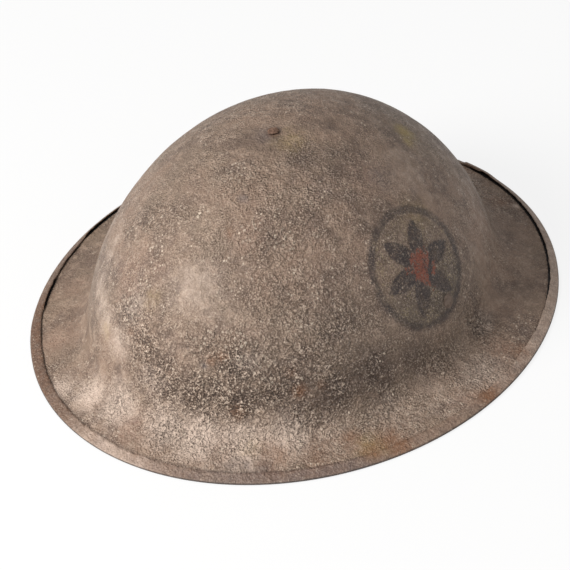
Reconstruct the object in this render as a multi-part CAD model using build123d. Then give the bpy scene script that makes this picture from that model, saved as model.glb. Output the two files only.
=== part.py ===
from build123d import *
import os
from math import acos, asin, atan2, cos, degrees, radians, sin, sqrt, tan

# Steel helmet with a wide flat brim, in millimetres.
# +Z is up, the wearer faces -Y, the wearer's left is +X, and the rim stands on Z = 0.

# Shell: one pressed steel bowl
shell_thickness = 1.0
dome_radius = 118.5         # of the dome's profile
wall_slope = 74.8           # degrees below level, where the dome runs out into the straight wall
wall_length = 11.0          # straight wall between the dome and the brim's fillet
brim_fillet_radius = 15.3
brim_inner_slope = 16.6     # degrees below level, at the fillet
brim_outer_slope = 12.7     # degrees below level, at the rim
brim_width = 22.618         # from the fillet to the rim: 311 by 290 mm over the rim strip
rim_oval_share = 0.034942   # the rim is longer and narrower than round by this share
dome_oval_share = 0.09      # and the dome by this one
oval_start_share = 0.62     # share of the rim's radius where the dome's oval begins to ease

# Rim strip: thin steel folded round the brim's edge
strip_thickness = 0.5
strip_leaf = 6.0
strip_clearance = 0.1
strip_lap_length = 18.0
strip_lap_offset = 29.7     # of the lap's middle, towards the wearer's left
rest_flat = 0.3             # height that the strip's lowest edge is worn away to a flat

# Crown rivet and its washer
crown_shank_radius = 1.6
crown_hole_clearance = 0.1
crown_head_radius = 3.6
crown_head_height = 1.5
crown_tail_radius = 3.0
crown_tail_height = 1.4
washer_radius = 11.0
washer_thickness = 1.0
seat_gap = 0.3              # between pieces that rest against each other

# Crown cross: four leather arms from the crown to the outer band
cross_thickness = 1.4
cross_arm_width = 24.0
cross_fall = 15.3           # of the arms' ends below the tubes' level

# Felt pad
pad_thickness = 8.0
pad_radius = 48.0

# Bands of the liner; each top edge stands a rise above the tubes' level
outer_band_thickness = 1.6
outer_band_rise = 1.7
outer_band_width = 19.0
inner_band_thickness = 1.6
inner_band_rise = 5.7
inner_band_width = 37.0

# Rubber tubes between the bands
buffer_count = 12
buffer_diameter = 9.5
buffer_bore = 5.0
buffer_gap = 5.65           # between two tubes at the front, which leaves them 38 mm long
buffer_slope = 58.0         # degrees, the dome's slope where the tubes sit

# Small rivets of the liner
liner_shank_radius = 1.2
liner_head_radius = 2.6
liner_head_height = 0.7
liner_sunk_head_height = 0.6
liner_hole_clearance = 0.1
cross_rivet_slope = 58.0    # degrees, the dome's slope where the arms are riveted to the band

# Head net and its drawstring
net_thickness = 1.8
net_skirt_width = 8.0
net_skirt_rise = 5.7        # of the skirt's top above the tubes' level
net_crown_gap = 9.0         # from the felt pad down to the top of the net's dome
net_hole_radius = 18.0
net_tuck = 0.5              # that the net's dome stands inside the line of its skirt
lace_radius = 1.3
lace_knot_radius = 2.6
lace_knot_length = 6.0
lace_tail_length = 14.0
lace_tail_lean = 35.0       # degrees from upright

# Bail clips, inside the shell at the wearer's left and right
clip_fall = 10.0            # of the clip's middle below the outer band's foot
clip_sheet = 0.8
clip_width = 12.0
clip_gap = 0.45
clip_rivet_up = 3.5         # from the clip's middle up to the rivet
clip_barrel_down = 5.0      # from the clip's middle down to the bail's upper bar
clip_edge = 5.0             # from the rivet's axis to the clip's upper edge
clip_rivet_shank_radius = 2.0
clip_rivet_head_radius = 4.0
clip_rivet_head_height = 0.6
clip_rivet_tail_radius = 3.2
clip_rivet_tail_height = 1.3
clip_hole_clearance = 0.1

# Wire bails
bail_wire_radius = 1.25
bail_width = 26.0           # between the wire's centre lines
bail_height = 17.0
bail_corner_radius = 4.0
bail_clearance = 0.06       # radial, in the clip's barrel and in the strap's loop

# Chin strap in two leather halves
strap_width = 16.0
strap_thickness = 2.0
strap_floor_gap = 0.4
strap_ply_gap = 0.1
strap_ply_length = 12.0     # of the folded end that is riveted down
strap_neck = 5.0            # from a bar's axis to where the two plies meet
strap_descent = 20.0        # length over which the strap sinks to the floor
strap_long_reach = 88.0     # from the bail's bar to where the long half turns back
strap_turn_radius = 6.0
strap_return_descent = 26.0
strap_return_gap = 0.4
strap_tip_length = 20.0
strap_short_reach = 58.0    # from the bail's bar to the buckle's bar
strap_rivet_shank_radius = 1.0
strap_rivet_head_radius = 2.4
strap_rivet_head_height = 0.6
strap_rivet_pitch = 8.0

# Friction buckle
buckle_bar_radius = 1.0
buckle_bar_clearance = 0.08
buckle_length = 19.0        # from the hinge bar's axis to the end bar's middle
buckle_rail_width = 2.0
buckle_rail_height = 2.2
buckle_end_width = 3.0
buckle_strap_clearance = 0.5
slider_place = 8.0          # from the hinge bar's axis to the sliding bar's middle
slider_width = 2.4
slider_clearance = 0.15
slider_wall = 0.9
slider_bar_height = 1.0

# Numbers of steps in the lofted surfaces
dome_steps = 12
fillet_steps = 7
brim_steps = 5
net_steps = 7
net_skirt_steps = 3
net_first_angle = 10.0      # degrees up the net's dome, above its skirt
net_last_angle = 80.0       # past the edge of its hole
overrun = 8.0               # of cutting solids
brim_overrun = 16.0         # of the brim's untrimmed surface past its edge


def sind(angle):
    return sin(radians(angle))


def cosd(angle):
    return cos(radians(angle))


def tand(angle):
    return tan(radians(angle))


# The shell's outer profile, as radius and drop from the crown
crown_hole_radius = crown_shank_radius + crown_hole_clearance
crown_slope = degrees(asin(crown_hole_radius / dome_radius / 2))
wall_top_radius = dome_radius * sind(wall_slope)
wall_top_drop = dome_radius * (1 - cosd(wall_slope))
wall_foot_radius = wall_top_radius + wall_length * cosd(wall_slope)
wall_foot_drop = wall_top_drop + wall_length * sind(wall_slope)
brim_start_radius = (wall_foot_radius
                     + brim_fillet_radius * (sind(wall_slope) - sind(brim_inner_slope)))
rim_radius = brim_start_radius + brim_width
rim_length = 2 * rim_radius * (1 + rim_oval_share)
rim_width = 2 * rim_radius * (1 - rim_oval_share)


def dome_stations():
    """Radius, drop and slope at steps down the dome, the first one inside the crown's hole."""
    rows = []
    for k in range(dome_steps + 1):
        slope = crown_slope + (wall_slope - crown_slope) * (k / dome_steps) ** 1.3
        rows.append((dome_radius * sind(slope), dome_radius * (1 - cosd(slope)), slope))
    return rows


def fillet_stations():
    """The same from the wall's foot to the brim."""
    rows = []
    for k in range(fillet_steps + 1):
        slope = wall_slope + (brim_inner_slope - wall_slope) * k / fillet_steps
        radius = wall_foot_radius + brim_fillet_radius * (sind(wall_slope) - sind(slope))
        drop = wall_foot_drop + brim_fillet_radius * (cosd(slope) - cosd(wall_slope))
        rows.append((radius, drop, slope))
    return rows


def brim_drop(radius):
    """Drop of the brim's upper surface, whose slope eases evenly from the fillet to the rim
    and stays as it is past the rim."""
    start_radius, start_drop, slope = fillet_stations()[-1]
    run = min(radius - start_radius, brim_width)
    middle_slope = slope + (brim_outer_slope - slope) * run / brim_width / 2
    past_rim = radius - start_radius - run
    return start_drop + run * tand(middle_slope) + past_rim * tand(brim_outer_slope)


def brim_stations():
    rows = []
    start_radius = fillet_stations()[-1][0]
    for k in range(1, brim_steps + 1):
        radius = start_radius + (rim_radius + brim_overrun - start_radius) * k / brim_steps
        rows.append((radius, brim_drop(radius), brim_outer_slope))
    return rows


def ease(radius):
    """The oval's share at a radius: the dome's own, easing to the rim's."""
    share = max(0.0, (radius / rim_radius - oval_start_share) / (1 - oval_start_share))
    return dome_oval_share + (rim_oval_share - dome_oval_share) * share**2


strip_stack = shell_thickness + strip_clearance + strip_thickness
strip_fold = strip_clearance + strip_thickness
crown_z = brim_drop(rim_radius) + strip_stack / cosd(brim_outer_slope) - rest_flat


def semi_axes(station, depth):
    """Half width and half length of the layer that lies a depth under the outer surface."""
    radius, drop, slope = station
    oval = ease(radius)
    inset = depth * sind(slope)
    return radius * (1 - oval) - inset, radius * (1 + oval) - inset


def layer_face(station, depth):
    half_width, half_length = semi_axes(station, depth)
    level = crown_z - station[1] - depth * cosd(station[2])
    return Pos(0, 0, level) * Ellipse(half_width, half_length)


def bowl(depth, stations):
    """The solid under the outer surface, sunk by a depth, between the first and last stations."""
    return loft([layer_face(station, depth) for station in stations])


def slab(top_drop, foot_drop):
    """A block as wide as the helmet between two drops below the crown."""
    height = foot_drop - top_drop
    return Pos(0, 0, crown_z - top_drop - height / 2) * Box(rim_width, rim_length, height)


def prism(inset):
    """An upright prism over the rim's oval, drawn in by an inset."""
    outline = Ellipse(rim_width / 2 - inset, rim_length / 2 - inset)
    return extrude(Pos(0, 0, -overrun) * outline, crown_z + overrun)


def wall_stations():
    return dome_stations() + fillet_stations()[:1]


def outer_surface_stations():
    return dome_stations() + fillet_stations() + brim_stations()


def band(depth, thickness, top_drop, foot_drop):
    """A band of the liner that follows the shell's inside between two drops."""
    rows = wall_stations()
    above = []
    for k, (radius, drop, slope) in enumerate(rows):
        if drop + (depth + thickness) * cosd(slope) < top_drop:
            above.append(k)
    rows = rows[above[-1]:]
    layer = bowl(depth, rows) - bowl(depth + thickness, rows)
    return layer & slab(top_drop, foot_drop)


def seat(turn, slope, depth):
    """Place on a layer of the dome: Z out along the surface's normal, Y level along the band.
    The turn runs from the front over the wearer's left."""
    station = (dome_radius * sind(slope), dome_radius * (1 - cosd(slope)), slope)
    half_width, half_length = semi_axes(station, depth)
    point = Vector(half_width * sind(turn), -half_length * cosd(turn),
                   crown_z - station[1] - depth * cosd(slope))
    along = Vector(half_width * cosd(turn), half_length * sind(turn), 0).normalized()
    out = along.cross(Vector(0, 0, 1))
    normal = out * sind(slope) + Vector(0, 0, 1) * cosd(slope)
    return Plane(origin=point, x_dir=normal.cross(along) * -1, z_dir=normal)


def liner_axis(turn, slope):
    """Place on the outer surface whose Z axis runs out square through the liner's layers, so that
    a layer's depth is a height below this place."""
    out = Vector(sind(slope) * sind(turn), -sind(slope) * cosd(turn), cosd(slope))
    return Plane(origin=seat(turn, slope, 0).origin, z_dir=out)


def curve_radius(turn, slope, depth):
    """Radius of the layer's level curve at a turn."""
    station = (dome_radius * sind(slope), dome_radius * (1 - cosd(slope)), slope)
    half_width, half_length = semi_axes(station, depth)
    speed = sqrt((half_width * cosd(turn))**2 + (half_length * sind(turn))**2)
    return speed**3 / (half_width * half_length)


def pin(place, radius, low, high):
    """A round solid along a place's Z axis from one height to another."""
    return place * Pos(0, 0, (low + high) / 2) * Cylinder(radius, high - low)


def domed_head(radius, height):
    """A low round rivet head that stands on its XY plane."""
    ball_radius = (radius**2 + height**2) / (2 * height)
    ball = Pos(0, 0, height - ball_radius) * Sphere(ball_radius)
    return ball & Pos(0, 0, height) * Cylinder(radius * 2, height * 2)


# Levels of the liner below the crown, from the tubes' level
tube_drop = dome_radius * (1 - cosd(buffer_slope))
outer_band_top_drop = tube_drop - outer_band_rise
inner_band_top_drop = tube_drop - inner_band_rise
net_skirt_top_drop = tube_drop - net_skirt_rise
cross_drop = tube_drop + cross_fall
clip_drop = outer_band_top_drop + outer_band_width + clip_fall

# Depths of the liner's layers under the shell's outer surface
cross_depth = shell_thickness + seat_gap
outer_band_depth = cross_depth + cross_thickness + seat_gap
buffer_depth = outer_band_depth + outer_band_thickness + seat_gap + buffer_diameter / 2
inner_band_depth = buffer_depth + buffer_diameter / 2 + seat_gap
net_depth = inner_band_depth + inner_band_thickness + seat_gap
pad_depth = cross_depth + cross_thickness + seat_gap
pad_bend = (dome_radius - pad_depth - pad_thickness) * (1 - dome_oval_share)**2
washer_sag = pad_bend - sqrt(pad_bend**2 - washer_radius**2)
washer_depth = pad_depth + pad_thickness + washer_sag + seat_gap
buffer_turns = [360 * k / buffer_count for k in range(buffer_count)]
buffer_station = (dome_radius * sind(buffer_slope), tube_drop, buffer_slope)
buffer_spacing = radians(360 / buffer_count) * semi_axes(buffer_station, buffer_depth)[0]
buffer_length = buffer_spacing - buffer_gap
arm_turns = [45 + 90 * k for k in range(4)]
shell_sides = {"left": 1, "right": -1}

# Frame of the wearer's left clip, at the clip's middle on the shell's inner surface
clip_slope = degrees(acos(1 - clip_drop / dome_radius))
clip_place = seat(90, clip_slope, shell_thickness)
clip_down = Vector(cosd(clip_slope), 0, -sind(clip_slope))
clip_in = clip_place.z_dir * -1
barrel_radius = bail_wire_radius + bail_clearance + clip_sheet
rivet_point = clip_place.origin - clip_down * clip_rivet_up
bail_pivot = (clip_place.origin + clip_down * clip_barrel_down
              + clip_in * (clip_gap + barrel_radius))
rivet_place = Plane(origin=rivet_point, x_dir=(0, 1, 0), z_dir=clip_place.z_dir)
strap_pivot = bail_pivot - Vector(0, 0, bail_height)


def crown_place():
    return Plane(origin=(0, 0, crown_z), x_dir=(1, 0, 0), z_dir=(0, 0, 1))


def mirrored(solid, side):
    return solid if side == "left" else mirror(solid, Plane.YZ)


def shell():
    body = bowl(0, outer_surface_stations()) - bowl(shell_thickness, outer_surface_stations())
    body = body & prism(strip_fold)
    body = body - pin(crown_place(), crown_hole_radius, -overrun, overrun)
    for side in shell_sides:
        hole_radius = clip_rivet_shank_radius + clip_hole_clearance
        body = body - mirrored(pin(rivet_place, hole_radius, -overrun, overrun), side)
    return body


def rim_layer(above, below, outset):
    """The brim between two layers, out to an outset past the shell's own edge."""
    stations = outer_surface_stations()
    layer = bowl(-above, stations) - bowl(shell_thickness + below, stations)
    return layer & prism(strip_fold - outset)


def rim_strip():
    ring = rim_layer(strip_fold, strip_fold, strip_fold) - prism(strip_fold + strip_leaf)
    lap = rim_layer(strip_fold + strip_thickness, strip_fold, strip_fold + strip_thickness)
    lap_cut = Pos(strip_lap_offset, rim_length / 2, 0) * Box(strip_lap_length, rim_length / 4,
                                                            2 * crown_z)
    lap = (lap - prism(strip_fold + strip_leaf)) & lap_cut
    inside = rim_layer(strip_clearance, strip_clearance, strip_clearance)
    strip = (ring + lap) - inside
    floor = Pos(0, 0, -overrun / 2) * Box(rim_width + overrun, rim_length + overrun, overrun)
    return strip - floor


def crown_rivet():
    place = crown_place()
    foot = -washer_depth - washer_thickness
    body = pin(place, crown_shank_radius, foot - crown_tail_height, 0)
    body = body + place * domed_head(crown_head_radius, crown_head_height)
    return body + pin(place, crown_tail_radius, foot - crown_tail_height, foot)


def crown_washer():
    place = crown_place()
    ring = pin(place, washer_radius, -washer_depth - washer_thickness, -washer_depth)
    return ring - pin(place, crown_hole_radius, -2 * washer_depth, 0)


def crown_cross():
    layer = bowl(cross_depth, wall_stations()) - bowl(cross_depth + cross_thickness,
                                                      wall_stations())
    arms = []
    for turn in arm_turns[:2]:
        point = seat(turn, cross_rivet_slope, cross_depth).origin
        heading = degrees(atan2(point.Y, point.X))
        arms.append(Rot(0, 0, heading) * Box(rim_length, cross_arm_width, 2 * crown_z))
    body = layer & (arms[0] + arms[1]) & slab(0, cross_drop)
    body = body - pin(crown_place(), crown_hole_radius, -overrun, overrun)
    sink_depth = cross_depth + liner_sunk_head_height + 2 * liner_hole_clearance
    sink_radius = liner_head_radius + liner_hole_clearance
    sinks = [pin(liner_axis(turn, cross_rivet_slope), sink_radius, -sink_depth, overrun)
             for turn in arm_turns]
    return body - liner_holes(arm_turns, cross_rivet_slope) - sinks


def felt_pad():
    layer = bowl(pad_depth, wall_stations()) - bowl(pad_depth + pad_thickness, wall_stations())
    disc = pin(crown_place(), pad_radius, -crown_z, overrun)
    return (layer & disc) - pin(crown_place(), crown_hole_radius, -crown_z, overrun)


def liner_holes(turns, slope):
    """Holes for the liner's small rivets, right through its layers."""
    hole_radius = liner_shank_radius + liner_hole_clearance
    holes = []
    for turn in turns:
        holes.append(pin(liner_axis(turn, slope), hole_radius, -2 * buffer_depth, 0))
    return holes


def outer_band():
    foot = outer_band_top_drop + outer_band_width
    body = band(outer_band_depth, outer_band_thickness, outer_band_top_drop, foot)
    holes = liner_holes(buffer_turns, buffer_slope) + liner_holes(arm_turns, cross_rivet_slope)
    return body - holes


def inner_band():
    foot = inner_band_top_drop + inner_band_width
    body = band(inner_band_depth, inner_band_thickness, inner_band_top_drop, foot)
    return body - liner_holes(buffer_turns, buffer_slope)


def rubber_buffer(turn):
    """A rubber tube bent along the bands, with the rivet's hole through its middle."""
    place = seat(turn, buffer_slope, buffer_depth)
    bend = curve_radius(turn, buffer_slope, buffer_depth)
    arc = degrees(buffer_length / bend)
    ring = Circle(buffer_diameter / 2) - Circle(buffer_bore / 2)
    section = Plane.XZ * Pos(bend, 0) * ring
    tube = Rot(0, 0, -arc / 2) * revolve(section, Axis.Z, arc)
    out = place.z_dir
    heading = degrees(atan2(out.Y, out.X))
    centre = place.origin - Vector(cosd(heading), sind(heading), 0) * bend
    tube = Pos(centre.X, centre.Y, centre.Z) * Rot(0, 0, heading) * tube
    return tube - liner_holes([turn], buffer_slope)[0]


def liner_rivet(turn, slope, top_depth, foot_depth, head_height):
    """A thin rivet between two depths, with a flat head past each of them."""
    place = liner_axis(turn, slope)
    body = pin(place, liner_shank_radius, -foot_depth, -top_depth)
    body = body + pin(place, liner_head_radius, -top_depth, head_height - top_depth)
    body = body + pin(place, liner_head_radius, -foot_depth - liner_head_height, -foot_depth)
    return body.solid()


def buffer_rivets():
    top_depth = outer_band_depth - seat_gap
    foot_depth = inner_band_depth + inner_band_thickness + seat_gap
    return Compound([liner_rivet(turn, buffer_slope, top_depth, foot_depth, liner_head_height)
                     for turn in buffer_turns])


def cross_rivets():
    top_depth = cross_depth + liner_sunk_head_height + liner_hole_clearance
    foot_depth = outer_band_depth + outer_band_thickness + seat_gap
    return Compound([liner_rivet(turn, cross_rivet_slope, top_depth, foot_depth,
                                 liner_sunk_head_height) for turn in arm_turns])


def layer_semi_axes(drop, depth):
    """Half width and half length of a layer of the dome at a drop below the crown."""
    slope = degrees(acos((dome_radius - drop) / (dome_radius - depth)))
    return semi_axes((dome_radius * sind(slope), drop, slope), depth)


net_half_width, net_half_length = layer_semi_axes(net_skirt_top_drop, net_depth)
net_base_z = crown_z - net_skirt_top_drop
net_rise = net_skirt_top_drop - pad_depth - pad_thickness - net_crown_gap
net_hole_z = net_base_z + net_rise * cos(asin(net_hole_radius / net_half_width))


def net_solid(inset, overhang):
    """The solid under the net's outer or inner surface, skirt and dome in one."""
    depth = net_depth + inset
    outlines = []
    for k in range(net_skirt_steps + 1):
        drop = (net_skirt_top_drop + net_skirt_width + overhang
                - (net_skirt_width + overhang) * k / net_skirt_steps)
        outlines.append((*layer_semi_axes(drop, depth), crown_z - drop))
    for k in range(net_steps + 1):
        angle = net_first_angle + (net_last_angle - net_first_angle) * k / net_steps
        outlines.append(((net_half_width - net_tuck - inset) * cosd(angle),
                         (net_half_length - net_tuck - inset) * cosd(angle),
                         net_base_z + (net_rise - inset) * sind(angle)))
    faces = [Pos(0, 0, z) * Ellipse(half_width, half_length)
             for half_width, half_length, z in outlines]
    return loft(faces, ruled=True)


def head_net():
    body = net_solid(0, 0) - net_solid(net_thickness, overrun)
    return body - pin(crown_place(), net_hole_radius, -crown_z, 0)


def net_lace():
    """The drawstring's ring inside the net's hole, with its knot at the rear."""
    ring_radius = net_hole_radius - seat_gap - lace_radius
    level = net_hole_z - net_thickness / 2
    body = Pos(0, 0, level) * Torus(ring_radius, lace_radius)
    knot_place = Pos(0, net_hole_radius - seat_gap - lace_knot_radius, level)
    knot = Cylinder(lace_knot_radius, lace_knot_length)
    knot = fillet(knot.edges().filter_by(GeomType.CIRCLE), lace_knot_radius / 2)
    body = body + knot_place * Rot(0, 90, 0) * knot
    for sign in (-1, 1):
        tail = Rot(0, sign * lace_tail_lean, 0) * Pos(0, 0, -lace_tail_length / 2)
        body = body + knot_place * tail * Cylinder(lace_radius, lace_tail_length)
    return body


def clip_outline():
    """The clip's side view, with X down along the wall and Y inwards from the shell."""
    length = clip_rivet_up + clip_edge + clip_barrel_down
    plies = Pos(clip_barrel_down - length / 2, clip_gap + clip_sheet) * Rectangle(length,
                                                                                2 * clip_sheet)
    barrel = Pos(clip_barrel_down, clip_gap + barrel_radius) * Circle(barrel_radius)
    bore = Pos(clip_barrel_down, clip_gap + barrel_radius) * Circle(bail_wire_radius
                                                                    + bail_clearance)
    return plies + barrel - bore


def clip(side):
    side_view = Plane(origin=clip_place.origin, x_dir=clip_down,
                      z_dir=clip_down.cross(clip_in))
    body = extrude(side_view * clip_outline(), clip_width / 2, both=True)
    hole_radius = clip_rivet_shank_radius + clip_hole_clearance
    body = body - pin(rivet_place, hole_radius, -overrun, overrun)
    return mirrored(body, side)


def clip_rivet(side):
    clip_face = -clip_gap - 2 * clip_sheet
    head_seat = shell_thickness + seat_gap / 2
    body = pin(rivet_place, clip_rivet_shank_radius, clip_face - seat_gap / 2, head_seat)
    head = rivet_place * Pos(0, 0, head_seat) * domed_head(clip_rivet_head_radius,
                                                           clip_rivet_head_height)
    tail = pin(rivet_place, clip_rivet_tail_radius,
               clip_face - seat_gap / 2 - clip_rivet_tail_height, clip_face - seat_gap / 2)
    return mirrored(body + head + tail, side)


def bail(side):
    """A closed loop of wire with straight top and bottom bars and rounded corners."""
    plane = Plane(origin=bail_pivot - Vector(0, 0, bail_height / 2), x_dir=(0, 1, 0),
                  z_dir=(1, 0, 0))
    outline = plane * RectangleRounded(bail_width, bail_height, bail_corner_radius)
    path = outline.face().outer_wire()
    section = Plane(origin=path @ 0, z_dir=path % 0) * Circle(bail_wire_radius)
    return mirrored(sweep(section, path), side)


# The straps' side views have X from the bail's bar inwards and Y up, with the bar at the origin
loop_radius = bail_wire_radius + bail_clearance + strap_thickness / 2
floor_level = strap_floor_gap + strap_thickness / 2 - strap_pivot.Z
ply_pitch = strap_thickness + strap_ply_gap
buckle_loop_radius = buckle_bar_radius + buckle_bar_clearance + strap_thickness / 2
buckle_level = floor_level + buckle_loop_radius


def glide(start, end):
    """Two equal arcs that leave one point level and reach the other level."""
    middle = ((start[0] + end[0]) / 2, (start[1] + end[1]) / 2)
    heading = 1 if end[0] > start[0] else -1
    first = TangentArc(start, middle, tangent=(heading, 0))
    second = TangentArc(middle, end, tangent=first % 1)
    return [first, second]


def strap_head():
    """The folded end round the bail's bar, then the run that sinks to the floor."""
    ply_level = -loop_radius + ply_pitch
    ply_end = (strap_neck + strap_ply_length, ply_level)
    neck = (strap_neck, ply_level)
    top = (0, loop_radius)
    foot = (0, -loop_radius)
    sink_start = (strap_neck + strap_ply_length, -loop_radius)
    sink_end = (strap_neck + strap_ply_length + strap_descent, floor_level)
    edges = [Line(ply_end, neck)] + glide(neck, top)
    edges.append(ThreePointArc(top, (-loop_radius, 0), foot))
    edges.append(Line(foot, sink_start))
    return edges + glide(sink_start, sink_end), sink_end


def strap_solid(edges):
    """A flat strap of leather along a path in its side view, over the wearer's left bail."""
    side_view = Plane(origin=strap_pivot, x_dir=(-1, 0, 0), z_dir=(0, 1, 0))
    path = side_view * Wire(edges)
    section = Plane(origin=path @ 0, x_dir=(0, 1, 0), z_dir=path % 0) * Rectangle(
        strap_width, strap_thickness)
    return sweep(section, path)


def strap_point(along, level):
    """A place in the strap's side view, with its Z axis up."""
    point = strap_pivot + Vector(-along, 0, level)
    return Plane(origin=point, x_dir=(1, 0, 0), z_dir=(0, 0, 1))


def strap_rivet_pairs(along, foot_level):
    """Two rivets side by side through both plies."""
    solids = []
    for sideways in (-1, 1):
        place = strap_point(along, foot_level - strap_thickness / 2)
        place = place * Pos(0, sideways * strap_rivet_pitch / 2, 0)
        top = strap_thickness + ply_pitch
        body = pin(place, strap_rivet_shank_radius, 0, top)
        body = body + pin(place, strap_rivet_head_radius, top, top + strap_rivet_head_height)
        solids.append(body.solid())
    return solids


strap_rivet_along = strap_neck + strap_ply_length / 2
buckle_rivet_along = strap_short_reach - strap_neck - strap_ply_length / 2


def short_rivets():
    return (strap_rivet_pairs(strap_rivet_along, -loop_radius)
            + strap_rivet_pairs(buckle_rivet_along, floor_level))


def long_rivets():
    return strap_rivet_pairs(strap_rivet_along, -loop_radius)


def strap_short():
    edges, start = strap_head()
    end = (strap_short_reach, floor_level)
    edges.append(Line(start, end))
    top = (strap_short_reach, buckle_level + buckle_loop_radius)
    edges.append(ThreePointArc(end, (strap_short_reach + buckle_loop_radius, buckle_level), top))
    neck = (strap_short_reach - strap_neck, floor_level + ply_pitch)
    edges = edges + glide(top, neck)
    edges.append(Line(neck, (neck[0] - strap_ply_length, neck[1])))
    return strap_solid(edges) - short_rivets()


def strap_long():
    edges, start = strap_head()
    turn = (strap_long_reach, floor_level)
    edges.append(Line(start, turn))
    turn_top = (strap_long_reach, floor_level + 2 * strap_turn_radius)
    middle = (strap_long_reach + strap_turn_radius, floor_level + strap_turn_radius)
    edges.append(ThreePointArc(turn, middle, turn_top))
    rest = (strap_long_reach - strap_return_descent,
            floor_level + strap_thickness + strap_return_gap)
    edges = edges + glide(turn_top, rest)
    edges.append(Line(rest, (rest[0] - strap_tip_length, rest[1])))
    return mirror(strap_solid(edges) - long_rivets(), Plane.YZ)


def strap_rivets(rivets, side):
    return Compound([mirrored(rivet, side) for rivet in rivets])


buckle_inner_width = strap_width + 2 * buckle_strap_clearance
buckle_outer_width = buckle_inner_width + 2 * buckle_rail_width
rail_place_y = (buckle_inner_width + buckle_rail_width) / 2


def buckle_block(along, sideways, length, width, height):
    """A block of the buckle, placed from the hinge bar's axis."""
    place = strap_point(strap_short_reach + along, buckle_level)
    return place * Pos(0, sideways, 0) * Box(length, width, height)


def buckle_frame():
    place = strap_point(strap_short_reach, buckle_level)
    body = place * Rot(90, 0, 0) * Cylinder(buckle_bar_radius, buckle_outer_width)
    for sign in (-1, 1):
        body = body + buckle_block(buckle_length / 2, sign * rail_place_y, buckle_length,
                                   buckle_rail_width, buckle_rail_height)
    body = body + buckle_block(buckle_length, 0, buckle_end_width, buckle_outer_width,
                               buckle_rail_height)
    return body


def buckle_bar():
    """The sliding bar, with an eye round each rail."""
    eye_width = buckle_rail_width + 2 * slider_clearance
    eye_height = buckle_rail_height + 2 * slider_clearance
    body = place_slider(0, buckle_inner_width - 2 * slider_clearance, slider_bar_height)
    for sign in (-1, 1):
        eye = place_slider(sign * rail_place_y, eye_width + 2 * slider_wall,
                           eye_height + 2 * slider_wall)
        body = body + eye
    for sign in (-1, 1):
        place = strap_point(strap_short_reach + slider_place, buckle_level)
        gap = place * Pos(0, sign * rail_place_y, 0) * Box(2 * slider_width, eye_width,
                                                           eye_height)
        body = body - gap
    return body


def place_slider(sideways, width, height):
    return buckle_block(slider_place, sideways, slider_width, width, height)


def save(node, shape):
    """Write one node, as a single solid or a group of separate solids."""
    solids = list(shape.solids())
    whole = solids[0] if len(solids) == 1 else Compound(solids)
    export_step(whole, os.path.join("parts", node + ".step"))


def build():
    os.makedirs("parts", exist_ok=True)
    save("shell", shell())
    save("rim_strip", rim_strip())
    save("crown_rivet", crown_rivet())
    save("crown_washer", crown_washer())
    save("crown_cross", crown_cross())
    save("felt_pad", felt_pad())
    save("outer_band", outer_band())
    save("cross_rivets", cross_rivets())
    for number, turn in enumerate(buffer_turns, 1):
        save(f"rubber_buffer_{number:02d}", rubber_buffer(turn))
    save("buffer_rivets", buffer_rivets())
    save("inner_band", inner_band())
    save("head_net", head_net())
    save("net_lace", net_lace())
    for side in shell_sides:
        save("clip_" + side, clip(side))
        save("clip_rivet_" + side, clip_rivet(side))
        save("bail_" + side, bail(side))
    save("strap_short", strap_short())
    save("strap_rivets_short", strap_rivets(short_rivets(), "left"))
    save("strap_long", strap_long())
    save("strap_rivets_long", strap_rivets(long_rivets(), "right"))
    save("buckle_frame", buckle_frame())
    save("buckle_bar", buckle_bar())


build()
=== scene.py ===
import math

import bpy
import numpy as np
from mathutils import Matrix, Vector, noise


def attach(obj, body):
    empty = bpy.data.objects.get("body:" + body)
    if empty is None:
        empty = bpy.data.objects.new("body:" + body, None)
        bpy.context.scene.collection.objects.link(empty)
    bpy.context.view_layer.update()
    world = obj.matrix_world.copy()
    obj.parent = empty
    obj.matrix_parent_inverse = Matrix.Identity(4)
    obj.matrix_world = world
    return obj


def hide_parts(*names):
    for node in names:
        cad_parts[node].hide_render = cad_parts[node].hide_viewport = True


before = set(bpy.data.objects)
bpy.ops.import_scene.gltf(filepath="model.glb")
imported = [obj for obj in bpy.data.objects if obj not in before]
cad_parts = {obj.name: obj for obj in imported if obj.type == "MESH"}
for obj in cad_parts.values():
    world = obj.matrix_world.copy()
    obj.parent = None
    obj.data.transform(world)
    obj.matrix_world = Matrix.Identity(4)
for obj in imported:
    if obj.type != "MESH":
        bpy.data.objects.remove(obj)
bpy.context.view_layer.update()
scene = bpy.context.scene

# A worn steel helmet with a laced net liner and a leather chin strap.
# Lengths in the shape functions are millimetres, angles are degrees, and meshes are in metres.
# +Z is up, the wearer faces -Y, the wearer's left is +X, and the rim stands on Z = 0.
# A turn runs from the front over the wearer's left.
MM = 0.001
CROWN_Z = 115.949
DOME_RADIUS = 118.5
WALL_SLOPE = 74.8
WALL_LENGTH = 11
FILLET_RADIUS = 15.3
BRIM_INNER_SLOPE = 16.6
BRIM_OUTER_SLOPE = 12.7
RIM_HALF_WIDTH = 145
RIM_HALF_LENGTH = 155.5
RIM_RADIUS = (RIM_HALF_WIDTH + RIM_HALF_LENGTH) / 2
RIM_OVAL = (RIM_HALF_LENGTH - RIM_HALF_WIDTH) / (RIM_HALF_LENGTH + RIM_HALF_WIDTH)
DOME_OVAL = 0.09
OVAL_START = 0.62
SHELL_EDGE_RADIUS = 149.65
SHELL_THICKNESS = 1


def sind(angle):
    return np.sin(np.radians(angle))


def cosd(angle):
    return np.cos(np.radians(angle))


def tand(angle):
    return np.tan(np.radians(angle))


def smooth(value, low, high):
    """0 below low, 1 above high, with an even curve between them."""
    share = np.clip((value - low) / (high - low), 0, 1)
    return share * share * (3 - 2 * share)


def unit(vectors):
    return vectors / np.linalg.norm(vectors, axis=-1, keepdims=True)


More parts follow.
